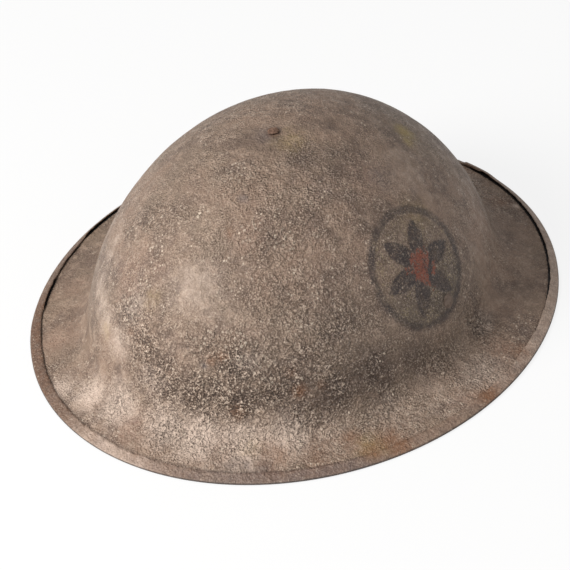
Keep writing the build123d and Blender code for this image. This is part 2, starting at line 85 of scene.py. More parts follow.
def circle(steps):
    """Angles round a circle, in radians."""
    return np.arange(steps) * 2 * np.pi / steps


# The shell's outer profile
WALL_TOP_RADIUS = DOME_RADIUS * sind(WALL_SLOPE)
WALL_TOP_DROP = DOME_RADIUS * (1 - cosd(WALL_SLOPE))
WALL_FOOT_RADIUS = WALL_TOP_RADIUS + WALL_LENGTH * cosd(WALL_SLOPE)
WALL_FOOT_DROP = WALL_TOP_DROP + WALL_LENGTH * sind(WALL_SLOPE)
BRIM_RADIUS = WALL_FOOT_RADIUS + FILLET_RADIUS * (sind(WALL_SLOPE) - sind(BRIM_INNER_SLOPE))
BRIM_DROP = WALL_FOOT_DROP + FILLET_RADIUS * (cosd(BRIM_INNER_SLOPE) - cosd(WALL_SLOPE))


def oval_at(radius):
    """How oval the shell is, which grows from the dome to the rim."""
    share = np.maximum(0, (radius / RIM_RADIUS - OVAL_START) / (1 - OVAL_START))
    return DOME_OVAL + (RIM_OVAL - DOME_OVAL) * share**2


def brim_drop(radius):
    share = (radius - BRIM_RADIUS) / (RIM_RADIUS - BRIM_RADIUS)
    slope = BRIM_INNER_SLOPE + (BRIM_OUTER_SLOPE - BRIM_INNER_SLOPE) * share / 2
    return BRIM_DROP + (radius - BRIM_RADIUS) * tand(slope)


def profile(dome, wall, fillet, brim):
    """Columns of radius, drop and slope from the crown to the edge, with steps for each part."""
    slope = np.linspace(0, WALL_SLOPE, dome + 1)[1:]
    rows = [(DOME_RADIUS * sind(slope), DOME_RADIUS * (1 - cosd(slope)), slope)]
    run = np.linspace(0, WALL_LENGTH, wall + 1)[1:]
    rows.append((WALL_TOP_RADIUS + run * cosd(WALL_SLOPE),
                 WALL_TOP_DROP + run * sind(WALL_SLOPE), np.full(wall, WALL_SLOPE)))
    slope = np.linspace(WALL_SLOPE, BRIM_INNER_SLOPE, fillet + 1)[1:]
    rows.append((WALL_FOOT_RADIUS + FILLET_RADIUS * (sind(WALL_SLOPE) - sind(slope)),
                 WALL_FOOT_DROP + FILLET_RADIUS * (cosd(slope) - cosd(WALL_SLOPE)), slope))
    radius = np.linspace(BRIM_RADIUS, SHELL_EDGE_RADIUS, brim + 1)[1:]
    rows.append((radius, brim_drop(radius), np.full(brim, BRIM_OUTER_SLOPE)))
    return np.concatenate(rows, axis=1)[..., None]


def layer_points(radius, drop, slope, depth, turn):
    """Points a depth under the outer surface."""
    oval = oval_at(radius)
    inset = depth * sind(slope)
    return np.stack([(radius * (1 - oval) - inset) * sind(turn),
                     -(radius * (1 + oval) - inset) * cosd(turn),
                     CROWN_Z - drop - depth * cosd(slope) + 0 * turn], -1)


def normal_at(slope, turn):
    return np.stack([sind(slope) * sind(turn), -sind(slope) * cosd(turn),
                     cosd(slope) + 0 * turn], -1)


def dome_point(turn, slope, depth):
    return layer_points(DOME_RADIUS * sind(slope), DOME_RADIUS * (1 - cosd(slope)), slope,
                        depth, turn)


def drop_point(turn, drop, depth):
    """Points of one of the dome's layers at a drop below the crown, and their slope."""
    slope = np.degrees(np.arccos((DOME_RADIUS - drop) / (DOME_RADIUS - depth)))
    return dome_point(turn, slope, depth), slope


def slope_over(x, y, depth):
    """The dome's slope above points of the plan, on a layer."""
    low = np.zeros(np.shape(x))
    high = np.full(np.shape(x), 85)
    for _ in range(40):
        slope = (low + high) / 2
        radius = DOME_RADIUS * sind(slope)
        oval = oval_at(radius)
        inset = depth * sind(slope)
        wide = np.maximum(radius * (1 - oval) - inset, 1e-6)
        long = np.maximum(radius * (1 + oval) - inset, 1e-6)
        beyond = (x / wide)**2 + (y / long)**2 > 1
        low = np.where(beyond, slope, low)
        high = np.where(beyond, high, slope)
    return (low + high) / 2


def over_plan(x, y, depth):
    """Points of a layer above points of the plan."""
    slope = slope_over(x, y, depth)
    z = CROWN_Z - DOME_RADIUS * (1 - cosd(slope)) - depth * cosd(slope)
    return np.stack([x, y, z], -1)


def noise_at(points, scale, seed, octaves=3):
    """Smooth noise from about -1 to 1 at points in millimetres."""
    shift = Vector((seed * 17.3, seed * 9.1, seed * 5.7))
    values = [noise.fractal(Vector(p) * scale + shift, 1, 2, octaves)
              for p in points.reshape(-1, 3)]
    return np.array(values).reshape(points.shape[:-1])


# Meshes


def new_object(name, data):
    thing = bpy.data.objects.new(name, data)
    scene.collection.objects.link(thing)
    return thing


def make_piece(name, points, faces, finish, slot, node=None, body="root"):
    """A new piece from points in millimetres, on its body and in the place of its node."""
    mesh = bpy.data.meshes.new(name)
    mesh.from_pydata((np.asarray(points, float).reshape(-1, 3) * MM).tolist(), [], faces)
    mesh.validate()
    mesh.polygons.foreach_set("use_smooth", [True] * len(mesh.polygons))
    mesh.update()
    mesh.materials.append(finish.material)
    piece = new_object(name, mesh)
    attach(piece, body)
    if node:
        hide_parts(node)
    return piece


def paint_values(piece, name, values):
    """One number for each vertex, for a material to read."""
    attribute = piece.data.attributes.new(name, "FLOAT", "POINT")
    attribute.data.foreach_set("value", np.asarray(values, np.float32).ravel())


def grid_faces(rows, columns, start=0, wrap_rows=False):
    """Quads over rings of points, and from the last ring to the first where asked."""
    faces = []
    for i in range(rows if wrap_rows else rows - 1):
        row, following = start + i * columns, start + (i + 1) % rows * columns
        for j in range(columns):
            k = (j + 1) % columns
            faces.append((row + j, row + k, following + k, following + j))
    return faces


def fan(pole, first, sides):
    """Triangles from a pole to the ring that starts with a point."""
    return [(pole, first + j, first + (j + 1) % sides) for j in range(sides)]


def flipped(faces):
    return [face[::-1] for face in faces]


def sweep_faces(count, sides):
    """A swept section's faces with a cap at each end."""
    last = (count - 1) * sides
    caps = [tuple(range(sides))[::-1], tuple(range(last, last + sides))]
    return grid_faces(count, sides) + caps


def egg_faces(rings, sides):
    """Faces of rings between two poles, which are the first point and the last."""
    last = 1 + rings * sides
    return (fan(0, 1, sides) + grid_faces(rings, sides, start=1)
            + flipped(fan(last, last - sides, sides)))


def tube(path, radius, sides, closed=False):
    """Points and faces of a round tube along a path."""
    path = np.asarray(path, float)
    count = len(path)
    if closed:
        tangent = np.roll(path, -1, axis=0) - np.roll(path, 1, axis=0)
    else:
        tangent = np.vstack([path[1:], path[-1:]]) - np.vstack([path[:1], path[:-1]])
    tangent = unit(tangent)
    normal = np.cross(tangent[0], (0.31, 0.52, 0.79))
    radius = np.broadcast_to(radius, count)
    angle = circle(sides)[:, None]
    rings = []
    for middle, ahead, size in zip(path, tangent, radius):
        normal = unit(normal - ahead * np.dot(normal, ahead))
        side = np.cross(ahead, normal)
        rings.append(middle + size * (np.cos(angle) * normal + np.sin(angle) * side))
    faces = grid_faces(count, sides, wrap_rows=True) if closed else sweep_faces(count, sides)
    return np.concatenate(rings), faces


def lump(centre, radii, axes=((1, 0, 0), (0, 1, 0), (0, 0, 1)), rings=5, sides=8):
    """A small closed egg, such as a knot."""
    points = [(0, 0, 1)]
    for polar in np.pi * np.arange(1, rings) / rings:
        points += [(np.sin(polar) * np.cos(around), np.sin(polar) * np.sin(around), np.cos(polar))
                   for around in circle(sides)]
    points.append((0, 0, -1))
    return (np.array(points) * radii) @ np.array(axes) + centre, egg_faces(rings - 1, sides)


def join_parts(parts):
    """One list of points and faces from several."""
    faces, start = [], 0
    for part_points, part_faces in parts:
        faces += [tuple(start + v for v in face) for face in part_faces]
        start += len(part_points)
    return np.concatenate([points for points, _ in parts]), faces


# Materials


def shade_of(colour):
    """A colour from other nodes, or one given as 0 to 255 on a screen."""
    if isinstance(colour, Value):
        return colour
    shares = [level / 255 for level in colour]
    return (*[share / 12.92 if share <= 0.04045 else ((share + 0.055) / 1.055)**2.4
              for share in shares], 1)


def feed(tree, node, inputs):
    """Sets or links inputs, each by its name or number."""
    for key, value in inputs.items():
        if isinstance(value, Value):
            tree.links.new(value.socket, node.inputs[key])
        else:
            node.inputs[key].default_value = value


def add_node(tree, kind, out, inputs, **settings):
    """Adds a node and gives one of its outputs."""
    node = tree.nodes.new(kind)
    for name, value in settings.items():
        setattr(node, name, value)
    feed(tree, node, inputs)
    return Value(tree, node.outputs[out])


class Value:
    """An output of a node. Arithmetic with it adds nodes."""

    def __init__(self, tree, socket):
        self.tree = tree
        self.socket = socket

    def math(self, operation, *others):
        return add_node(self.tree, "ShaderNodeMath", 0, dict(enumerate((self, *others))),
                        operation=operation)

    def __add__(self, other):
        return self.math("ADD", other)

    def __sub__(self, other):
        return self.math("SUBTRACT", other)

    def __mul__(self, other):
        return self.math("MULTIPLY", other)

    def highest(self, other):
        return self.math("MAXIMUM", other)

    def vector(self, operation, other=(0, 0, 0), out="Vector"):
        return add_node(self.tree, "ShaderNodeVectorMath", out, {0: self, 1: other},
                        operation=operation)

    def dot(self, direction):
        return self.vector("DOT_PRODUCT", tuple(direction), "Value")

    def step(self, low, high, start=0, end=1):
        """Goes smoothly from start to end where this goes from low to high."""
        return add_node(self.tree, "ShaderNodeMapRange", "Result",
                        {"Value": self, "From Min": low, "From Max": high, "To Min": start,
                         "To Max": end}, interpolation_type="SMOOTHSTEP")

    def blend(self, first, second):
        """The first colour with this share of the second."""
        return add_node(self.tree, "ShaderNodeMix", 2,
                        {0: self, 6: shade_of(first), 7: shade_of(second)}, data_type="RGBA")

    def mix(self, first, second):
        """The first surface with this share of the second."""
        return add_node(self.tree, "ShaderNodeMixShader", 0, {0: self, 1: first, 2: second})


def layered(colour, *layers):
    """Lays colours over a first one, each given as a share and a colour."""
    for share, shade in layers:
        colour = share.blend(colour, shade)
    return colour


class Finish:
    """A material whose patterns are given in millimetres."""

    def __init__(self, name, roughness, specular=0.5, metallic=0):
        self.material = bpy.data.materials.new(name)
        self.material.use_nodes = True
        self.tree = self.material.node_tree
        self.shader = self.tree.nodes["Principled BSDF"]
        feed(self.tree, self.shader, {"Roughness": roughness, "Metallic": metallic,
                                      "Specular IOR Level": specular})
        metres = add_node(self.tree, "ShaderNodeTexCoord", "Object", {})
        self.place = metres.vector("MULTIPLY", (1000, 1000, 1000))

    def pattern(self, kind, out, shift, inputs, **settings):
        place = self.place.vector("ADD", shift) if shift else self.place
        return add_node(self.tree, kind, out, {"Vector": place, **inputs}, **settings)

    def noise(self, scale, detail=3, roughness=0.6, shift=None, distortion=0):
        return self.pattern("ShaderNodeTexNoise", "Fac", shift,
                            {"Scale": scale, "Detail": detail, "Roughness": roughness,
                             "Distortion": distortion})

    def cells(self, scale, feature="F1", shift=None):
        return self.pattern("ShaderNodeTexVoronoi", "Distance", shift, {"Scale": scale},
                            feature=feature)

    def two_tone(self, scale, light, dark, low=0.35, high=0.65, detail=4):
        return self.noise(scale, detail).step(low, high).blend(light, dark)

    def values(self, name):
        return add_node(self.tree, "ShaderNodeAttribute", "Fac", {}, attribute_name=name)

    def surface(self, colour, height, distance, **others):
        """Sets the colour and a relief of height times a distance in millimetres."""
        bump = add_node(self.tree, "ShaderNodeBump", "Normal",
                        {"Strength": 1, "Distance": distance * MM, "Height": height})
        feed(self.tree, self.shader, {"Base Color": colour, "Normal": bump, **others})


# The roundel's middle on the wearer's left side, and its axes in the surface
ROUNDEL = Vector((91.4, -6.6, 60.2))
ROUNDEL_OUT = Vector((0.86, -0.055, 0.51)).normalized()
ROUNDEL_ALONG = Vector((0, 0, 1)).cross(ROUNDEL_OUT).normalized()
ROUNDEL_UP = ROUNDEL_OUT.cross(ROUNDEL_ALONG).normalized()
ROUNDEL_RADIUS = 34
PETAL_REACH = ROUNDEL_RADIUS * 0.8
PETAL_HALF_WIDTH = 5.8
PETAL_TURN = math.radians(60)


def hypotenuse(first, second):
    return (first * first + second * second).math("SQRT")


def roundel_layers(paint, colour):
    """A faded painted roundel: a dark ring round a six-petalled rosette with a red middle."""
    offset = paint.place.vector("SUBTRACT", tuple(ROUNDEL))
    across = offset.dot(ROUNDEL_ALONG) + (paint.noise(0.12, 2, 0.55) * 2.4 - 1.2)
    height = offset.dot(ROUNDEL_UP)
    away = offset.vector("LENGTH", out="Value")
    flat = hypotenuse(across, height)
    angle = height.math("ARCTAN2", across)
    folded = angle - angle.math("DIVIDE", PETAL_TURN).math("ROUND") * PETAL_TURN
    along = flat * folded.math("COSINE")
    beside = (flat * folded.math("SINE")).math("ABSOLUTE")
    bow_radius = ((PETAL_REACH / 2)**2 + PETAL_HALF_WIDTH**2) / (2 * PETAL_HALF_WIDTH)
    bow = hypotenuse(along - PETAL_REACH / 2, beside + (bow_radius - PETAL_HALF_WIDTH))
    wear = paint.noise(0.13, 5, 0.7, (31, 5, 12))
    chips = paint.noise(0.7, 3, 0.65, (3, 45, 2))
    kept = wear.step(0.34, 0.46, 0.4) * chips.step(0.37, 0.45)
    petals = bow.step(bow_radius + 0.5, bow_radius - 1)
    ring = (away.step(ROUNDEL_RADIUS - 5.2, ROUNDEL_RADIUS - 3.4)
            * away.step(ROUNDEL_RADIUS + 1.6, ROUNDEL_RADIUS - 1.2))
    inside = away.step(ROUNDEL_RADIUS, ROUNDEL_RADIUS - 2.5)
    field = inside * height.step(6, -22, 0.35) * 0.8
    flecks = chips.step(0.5, 0.6) * wear.step(0.62, 0.42) * inside * 0.6
    umber = wear.step(0.4, 0.6).blend((78, 65, 60), (56, 48, 49))
    mark = (petals * inside).highest(ring * 0.8) * kept * 0.92
    ragged = flat + (wear * 44 - 22)
    middle = ragged.step(8.6, 7.4) * chips.step(0.42, 0.46)
    red = chips.step(0.5, 0.62).blend((152, 82, 60), (114, 64, 50))
    soot = middle * wear.step(0.52, 0.6) * 0.8
    colour = layered(colour, (field, (86, 75, 65)), (flecks, (158, 140, 108)),
                     (mark, umber), (middle * 0.9, red), (soot, (48, 42, 44)))
    return colour, mark.highest(middle)


# Each kind of spot, how much of its colour it lays and the colour; dim spots also paint shade and
# one pale spot paints a highlight.
TINTS = [("pale", 0.9, (216, 194, 178)), ("dim", 0.85, (82, 66, 57)),
         ("rose", 0.45, (160, 124, 106)), ("olive", 0.95, (156, 134, 80)),
         ("slate", 0.75, (92, 83, 84)), ("rust", 0.95, (126, 87, 60))]


def drab_coat(name, marked):
    """Brown drab paint over sand, worn and weathered, with the roundel where it is marked."""
    # Besides its wear, this coat paints light and shade: highlights on the grain's peaks, shade in
    # its pits and a near-black line at the rim strip.
    paint = Finish(name, 0.5, 0.45)
    cloud = paint.noise(0.05, 5, 0.6, (40, 3, 9))
    mottle = paint.noise(0.16, 4, 0.6, (7, 61, 3))
    clump = paint.noise(0.4, 2.5, 0.55, (2, 8, 5), distortion=0.8)
    fine = paint.noise(0.95, 2, 0.6, (11, 2, 77))
    worn = paint.noise(0.075, 4, 0.62, (52, 17, 33))
    grain = paint.cells(1.15) * -1 + 1
    tips = paint.cells(0.34, shift=(90, 21, 7))
    crust = paint.values("crust")
    rubbed = paint.values("smooth") + (worn * 1.2 - 0.6)
    keen = rubbed.step(0.2, 0.8, 1, 0.36) * worn.step(0.42, 0.58, 0.5).highest(crust)
    colour = layered(paint.two_tone(0.017, (140, 116, 99), (128, 109, 93), 0.38, 0.62),
                     (cloud.step(0.43, 0.66) * 0.88, (108, 89, 77)),
                     (mottle.step(0.48, 0.64) * 0.6, (160, 137, 119)))
    for number, (tint, amount, shade) in enumerate(TINTS):
        value = paint.values(tint)
        breakup = paint.noise(0.2, 5, 0.68, (13 * number, 6, 50))
        ragged = value + (breakup * 0.9 - 0.45)
        share = value.step(0.02, 0.2) * ragged.step(0, 1.1)
        colour = (share * amount).blend(colour, shade)
    painted = 0
    if marked:
        colour, painted = roundel_layers(paint, colour)
    bare = keen * (painted * -0.75 + 1)
    rough = grain * 0.5 + fine + clump * crust
    above = rough - (crust * 0.54 + 0.72)
    # Painted light on the grain: its peaks are lightened as a painted highlight and its pits
    # darkened as painted shade.
    lit = above.step(0, 0.28) * (crust * 0.5 + 0.42)
    pit_shade = above.step(0.02, -0.18) * (crust * 0.55 + 0.35)
    dots = tips.step(0.25, 0.15) * (cloud.step(0.45, 0.55) * mottle.step(0.42, 0.54))
    dots = dots.highest(tips.step(0.34, 0.24) * paint.values("fleck"))
    # Painted shadow: a near-black line along the rim strip's inner edge, strongest where its leaf
    # stands off the brim, and along the strip's lower outer edge.
    seam = paint.values("seam_distance") + (fine * 1.2 - 0.6)
    gap_shade = seam.step(1.1, 0.6) * paint.values("seam_shade")
    colour = layered(colour, (lit * bare, (222, 201, 182)), (pit_shade * keen, (58, 43, 35)),
                     (dots * bare * 0.85, (222, 204, 184)), (gap_shade, (22, 16, 13)))
    relief = (grain * 0.55 + fine * 1.05) * keen + tips.step(0.24, 0.05) * 0.2
    worms = clump.step(0.36, 0.64) * (crust * 1.8 + 0.25)
    paint.surface(colour, relief + worms + mottle * 1.2, 1,
                  Roughness=mottle.step(0.3, 0.7, 0.58, 0.44))
    return paint


# How the shell is weathered and where shade and a highlight are painted on it: soft round spots,
# each as its x, y, z, radius and strength
WEATHERING_AND_PAINTED_LIGHT = {
    "fleck": [
        (-8, -60, 102, 9, 1), (-32, -65, 94, 6, 0.8), (-45, -70, 84, 8, 1), (-28, -82, 84, 7, 0.8),
        (24, -61, 98, 7, 0.7), (11, -76, 93, 5, 0.5), (-31, -101, 62, 9, 0.7),
        (0, -34, 112, 11, 0.6), (44, -56, 93, 10, 0.6), (39, -102, 55, 10, 0.8),
        (22, -109, 56, 8, 0.6), (51, -101, 44, 8, 0.8), (61, -77, 64, 8, 0.5),
        (-70, 60, 60, 14, 0.6), (10, 90, 72, 12, 0.6),
    ],
    "crust": [
        (-29, -105, 59, 15, 0.8), (-13, -116, 46, 16, 0.9), (2, -123, 33, 17, 0.9),
        (23, -121, 29, 18, 1), (43, -113, 28, 18, 1), (41, -107, 46, 15, 1), (58, -102, 33, 16, 1),
        (22, -110, 54, 12, 0.6), (7, -130, 12, 15, 0.8), (-29, -125, 12, 12, 0.7),
        (66, -87, 47, 17, 0.7), (81, -77, 32, 15, 0.8), (76, -67, 55, 18, 0.6),
        (54, -75, 73, 18, 0.5), (45, -121, 10, 16, 0.7), (69, -98, 16, 16, 0.8),
        (11, -36, 111, 12, 0.45), (40, -37, 102, 14, 0.4), (39, -57, 95, 16, 0.45),
        (-40, -64, 91, 10, 0.5), (-52, -69, 80, 7, 0.4), (30, -117, 33, 14, 1),
        (113, 14, 10, 13, 0.6), (108, -21, 13, 13, 0.6), (97, -63, 13, 15, 0.6),
        (92, -60, 30, 12, 0.6), (26, -130, 9, 16, 0.5), (128, -10, 4, 12, 0.4),
        (30, 118, 24, 26, 0.7), (-70, 98, 24, 24, 0.7), (-96, 20, 46, 20, 0.5),
        (-40, 70, 84, 24, 0.4), (10, 132, 8, 20, 0.6),
    ],
    "smooth": [
        (7, -93, 79, 20, 0.6), (-2, -9, 116, 22, 0.8), (20, 23, 112, 22, 0.75),
        (57, 33, 93, 22, 0.75), (77, 29, 76, 19, 0.7), (98, 40, 33, 17, 0.9), (-109, -61, 6, 22, 1),
        (-96, -89, 6, 20, 1), (-69, -98, 16, 13, 0.9), (-120, -35, 6, 22, 1),
        (-128, -5, 5, 22, 0.9), (-112, -30, 10, 18, 0.9), (-33, -117, 29, 5.5, 1),
        (-3, -142, 5, 8, 0.9), (94, 101, 4, 30, 1), (121, 65, 3, 24, 1), (112, 40, 12, 18, 0.9),
        (58, -130, 4, 11, 0.8), (36, -140, 4, 8, 0.6), (-47, -106, 40, 5, 0.8),
        (-62, -72, 68, 6, 0.6), (-48, -27, 100, 18, 0.6), (-52, 24, 99, 18, 0.7),
        (-90, 80, 12, 22, 0.7), (-20, 90, 76, 26, 0.6), (60, 90, 40, 22, 0.7),
        (-105, -10, 20, 16, 0.7),
    ],
    "pale": [
        (26, -130, 9, 17, 0.95), (47, -123, 8, 17, 0.95), (66, -109, 9, 16, 0.85),
        (4, -130, 11, 16, 0.8), (-28, -127, 11, 14, 0.95), (-50, -124, 8, 13, 0.85),
        (-70, -124, 4, 10, 0.7), (-34, -112, 41, 12, 0.55), (-48, -104, 44, 10, 0.5),
        (-40, -109, 42, 9, 0.4), (-56, -96, 47, 9, 0.45), (-63, -88, 49, 8, 0.45),
        # The spot at (7, -93, 79) paints a highlight on the dome's front.
        (-26, -103, 62, 13, 0.5), (7, -93, 79, 19, 0.38), (-62, -68, 71, 6, 0.4),
        (-63, -76, 64, 6, 0.4), (-63, -84, 56, 6, 0.4), (63, 29, 90, 20, 0.3),
        (131, -13, 4, 18, 0.5), (106, -65, 7, 20, 0.3), (118, -39, 6, 20, 0.3),
        (70, 127, 3, 2.6, 1), (43, -104, 49, 7, 0.6), (86, -97, 7, 18, 0.3),
        (-5, -123, 31, 12, 0.5), (112, 20, 9, 8, 0.4), (-80, 84, 34, 24, 0.5),
        (4, 104, 62, 26, 0.35), (-110, 40, 8, 20, 0.6), (20, 140, 5, 18, 0.6),
    ],
    "dim": [
        # The spots on this line and the next darken the dome's front right towards its foot:
        # painted shade.
        (78, -57, 61, 20, 0.45), (49, -97, 54, 17, 0.4), (69, -91, 33, 13, 0.75),
        (81, -81, 24, 13, 0.95), (92, -60, 30, 18, 0.9), (103, -36, 23, 16, 0.75),
        (-10, -36, 111, 6, 0.5), (40, 15, 107, 11, 0.55), (22, 26, 111, 8, 0.55),
        (-26, -59, 99, 20, 0.3), (58, -102, 32, 11, 0.45), (43, -113, 28, 9, 0.35),
        (108, -10, 15, 11, 0.3), (92, 30, 53, 22, 0.4), (105, 16, 26, 20, 0.45),
        (72, 105, 8, 40, 0.5), (113, 68, 5, 30, 0.35), (0, 110, 40, 50, 0.4),
        (-60, 110, 12, 24, 0.5), (30, 60, 96, 24, 0.4), (-33, -117, 29, 5, 0.5),
        (-14, -10, 115, 9, 0.6), (25, -10, 112, 12, 0.8), (4, -12, 115, 10, 0.6),
        (38, 2, 108, 14, 0.65), (12, 16, 114, 10, 0.5),
    ],
    "rose": [
        (-37, -86, 76, 15, 0.6), (-37, -94, 68, 14, 0.6), (21, -63, 98, 13, 0.4),
        (-17, -91, 79, 8, 0.5), (128, 9, 5, 11, 0.6), (132, -34, 3, 10, 0.5),
        (-14, -137, 7, 12, 0.6), (-98, -93, 5, 9, 0.6), (50, 6, 102, 12, 0.4),
        (-115, -50, 5, 12, 0.5), (-30, 120, 20, 20, 0.6), (90, 60, 40, 18, 0.4),
    ],
    "olive": [
        (44, 60, 91, 7, 1), (50, 54, 91, 5, 0.8), (-47, -106, 40, 6, 0.4), (107, -88, 4, 9, 0.6),
        (-16, -102, 68, 8, 0.3), (52, -122, 8, 9, 0.3), (79, 12, 78, 12, 0.4),
        (11, -1, 115, 12, 0.4), (-84, 60, 50, 14, 0.6), (20, 120, 30, 12, 0.5),
    ],
    "slate": [
        (-1, -2, 116, 9, 0.7), (58, 11, 97, 10, 0.6), (11, -47, 107, 3.5, 0.8),
        (23, -114, 47, 2.2, 1), (50, -135, 4, 8, 0.6), (57, -132, 4, 8, 0.5), (66, -128, 4, 8, 0.6),
        (42, -21, 105, 9, 0.3), (131, 31, 4, 5, 0.4), (-26, -150, 1, 7, 0.4),
        (-70, 110, 8, 16, 0.6), (-60, 50, 82, 14, 0.4),
    ],
    "rust": [
        (31, -108, 52, 3.5, 0.7), (26, -111, 49, 3, 0.7), (42, -115, 23, 5, 0.9),
        (140, -24, 2, 8, 1), (112, -80, 3, 10, 0.8), (68, -94, 31, 4.5, 0.9),
        (63, -93, 42, 3.3, 0.6), (75, -85, 32, 3.3, 0.6), (14, -66, 98, 3.3, 0.5),
        (119, -81, 2, 9, 0.8), (108, -91, 3, 7, 0.8), (95, -91, 6, 8, 0.6), (67, -119, 6, 12, 0.6),
        (84, -108, 5, 10, 0.5), (40, -131, 6, 12, 0.35), (-26, -111, 50, 2.7, 0.6),
        (136, 14, 3, 8, 0.5), (0, -145, 3, 10, 0.25), (30, -142, 3, 10, 0.3),
        (-60, 128, 4, 14, 0.7), (24, 150, 2, 12, 0.7), (-120, 70, 3, 12, 0.7),
        (-100, -10, 34, 6, 0.6), (-20, 70, 92, 6, 0.6), (60, 124, 4, 9, 0.5), (0, 0, 116, 5, 0.5),
    ],
}

# The rim strip's leaf: its width round the rim, and where it has lifted off the brim as the
# turns where a lift starts, is full, falls and ends, and its height
LEAF_TURNS = [0, 95, 113, 150, 171, 200, 240, 256, 259, 273, 276, 285, 290, 300, 305, 360]
LEAF_WIDTHS = [6.6, 6.6, 5.6, 4.2, 3.7, 5, 5, 4.4, 3.4, 3.3, 4.4, 4.6, 5.4, 5.6, 6.6, 6.6]
LIFTS = [(113, 114.5, 165, 176, 1.3), (257, 261, 271, 274, 1.2),
         (286, 289, 297, 300, 1), (274, 276, 284, 287, 0.5),
         (330, 340, 350, 359, 0.15)]
LEAST_LIFT = 0.16
STRIP_END_TURN = 171.5
STRIP_UNDER_TURN = 165.6
# How the strip's wear changes round the rim, as turns and strengths
STRIP_WEAR = {
    "pale": [(0, 0.6), (8, 0.1), (15, 0), (80, 0.1), (95, 0.4), (110, 0.55), (145, 0.55),
             (165, 0.3), (200, 0.2), (300, 0), (335, 0.05), (345, 0.4), (352, 0.6), (360, 0.4)],
    "rose": [(0, 0.4), (40, 0.5), (60, 0.3), (85, 0.3), (100, 0.2), (170, 0.2), (240, 0.3),
             (280, 0.4), (298, 0.1), (318, 0.15), (335, 0.3), (345, 0.2), (360, 0.4)],
    "dim": [(0, 0.1), (12, 0.15), (20, 0.4), (45, 0.45), (60, 0.25), (80, 0), (270, 0.4),
            (285, 0.5), (300, 1), (325, 1), (336, 0.7), (343, 0.15), (360, 0)],
    "rust": [(0, 0), (280, 0), (298, 0.45), (325, 0.4), (345, 0.1), (360, 0)],
    "slate": [(0, 0.3), (15, 0.5), (48, 0.5), (60, 0.1), (90, 0.2), (350, 0.1), (360, 0.3)],
}


def spots_at(points, kind):
    total = np.zeros(points.shape[:-1])
    for x, y, z, radius, strength in WEATHERING_AND_PAINTED_LIGHT[kind]:
        away = np.linalg.norm(points - np.array((x, y, z)), axis=-1)
        total = np.maximum(total, strength * np.exp(-(away / radius)**2))
    return np.clip(total, 0, 1)


def weather_and_paint_light(piece, points, outside, least):
    """Paints how strong each kind of weathering and of painted shade and highlight is at each
    vertex.
    """
    for kind in WEATHERING_AND_PAINTED_LIGHT:
        amount = spots_at(points, kind) * outside
        paint_values(piece, kind, np.maximum(amount, least.get(kind, 0)))


def leaf_lift(turn):
    """How far the strip's upper leaf stands off the brim at its inner edge."""
    height = np.full(turn.shape, LEAST_LIFT)
    for start, full, falling, end, amount in LIFTS:
        share = smooth(turn, start, full) * (1 - smooth(turn, falling, end))
        height = np.maximum(height, amount * share)
    return height


def build_shell():
    """The pressed shell, with its rough coat raised on the outside."""
    steps, coarser = 400, 4
    coat_fades, coat_ends = 139.5, 142.5
    turns = np.arange(steps) * 360 / steps
    radius, drop, slope = profile(118, 9, 20, 26)
    points = layer_points(radius, drop, slope, 0, turns)
    lumps = noise_at(points, 0.22, 3) * (0.05 + 0.16 * spots_at(points, "crust"))
    dents = noise_at(points, 0.028, 5, 2) * 0.35
    height = (lumps + dents) * (1 - smooth(radius, coat_fades, coat_ends))
    raised = points + normal_at(slope, turns) * height[..., None]
    under = layer_points(*profile(46, 4, 10, 12), SHELL_THICKNESS, turns[::coarser])
    rows, columns = raised.shape[:2]
    inner_rows, few = under.shape[:2]
    centre = 1 + rows * columns
    first = centre + 1
    points = np.concatenate([[[0, 0, CROWN_Z]], raised.reshape(-1, 3),
                             [[0, 0, CROWN_Z - SHELL_THICKNESS]], under.reshape(-1, 3)])
    faces = fan(0, 1, columns) + grid_faces(rows, columns, start=1)
    faces += flipped(fan(centre, first, few) + grid_faces(inner_rows, few, start=first))
    rim_top = centre - columns
    rim_foot = first + (inner_rows - 1) * few
    for j in range(few):
        top = [rim_top + (coarser * j + k) % columns for k in range(coarser + 1)]
        faces.append((*top[::-1], rim_foot + j, rim_foot + (j + 1) % few))
    piece = make_piece("shell_skin", points, faces, drab_coat("worn_drab_paint", True),
                       "painted_shell", "shell")
    outside = (np.arange(len(points)) < centre) * 1
    weather_and_paint_light(piece, points, outside, {"dim": 0.8 * (1 - outside), "smooth": 1 - outside})
    x, y = points[:, 0] / RIM_HALF_WIDTH, points[:, 1] / RIM_HALF_LENGTH
    turn = np.degrees(np.arctan2(x, -y)) % 360
    inset = RIM_RADIUS * (1 - np.hypot(x, y))
    paint_values(piece, "seam_distance", inset - np.interp(turn, LEAF_TURNS, LEAF_WIDTHS))
    # How strong the painted shadow is in the gap under the rim strip's leaf.
    paint_values(piece, "seam_shade", np.clip(leaf_lift(turn), 0.25, 1) * outside)


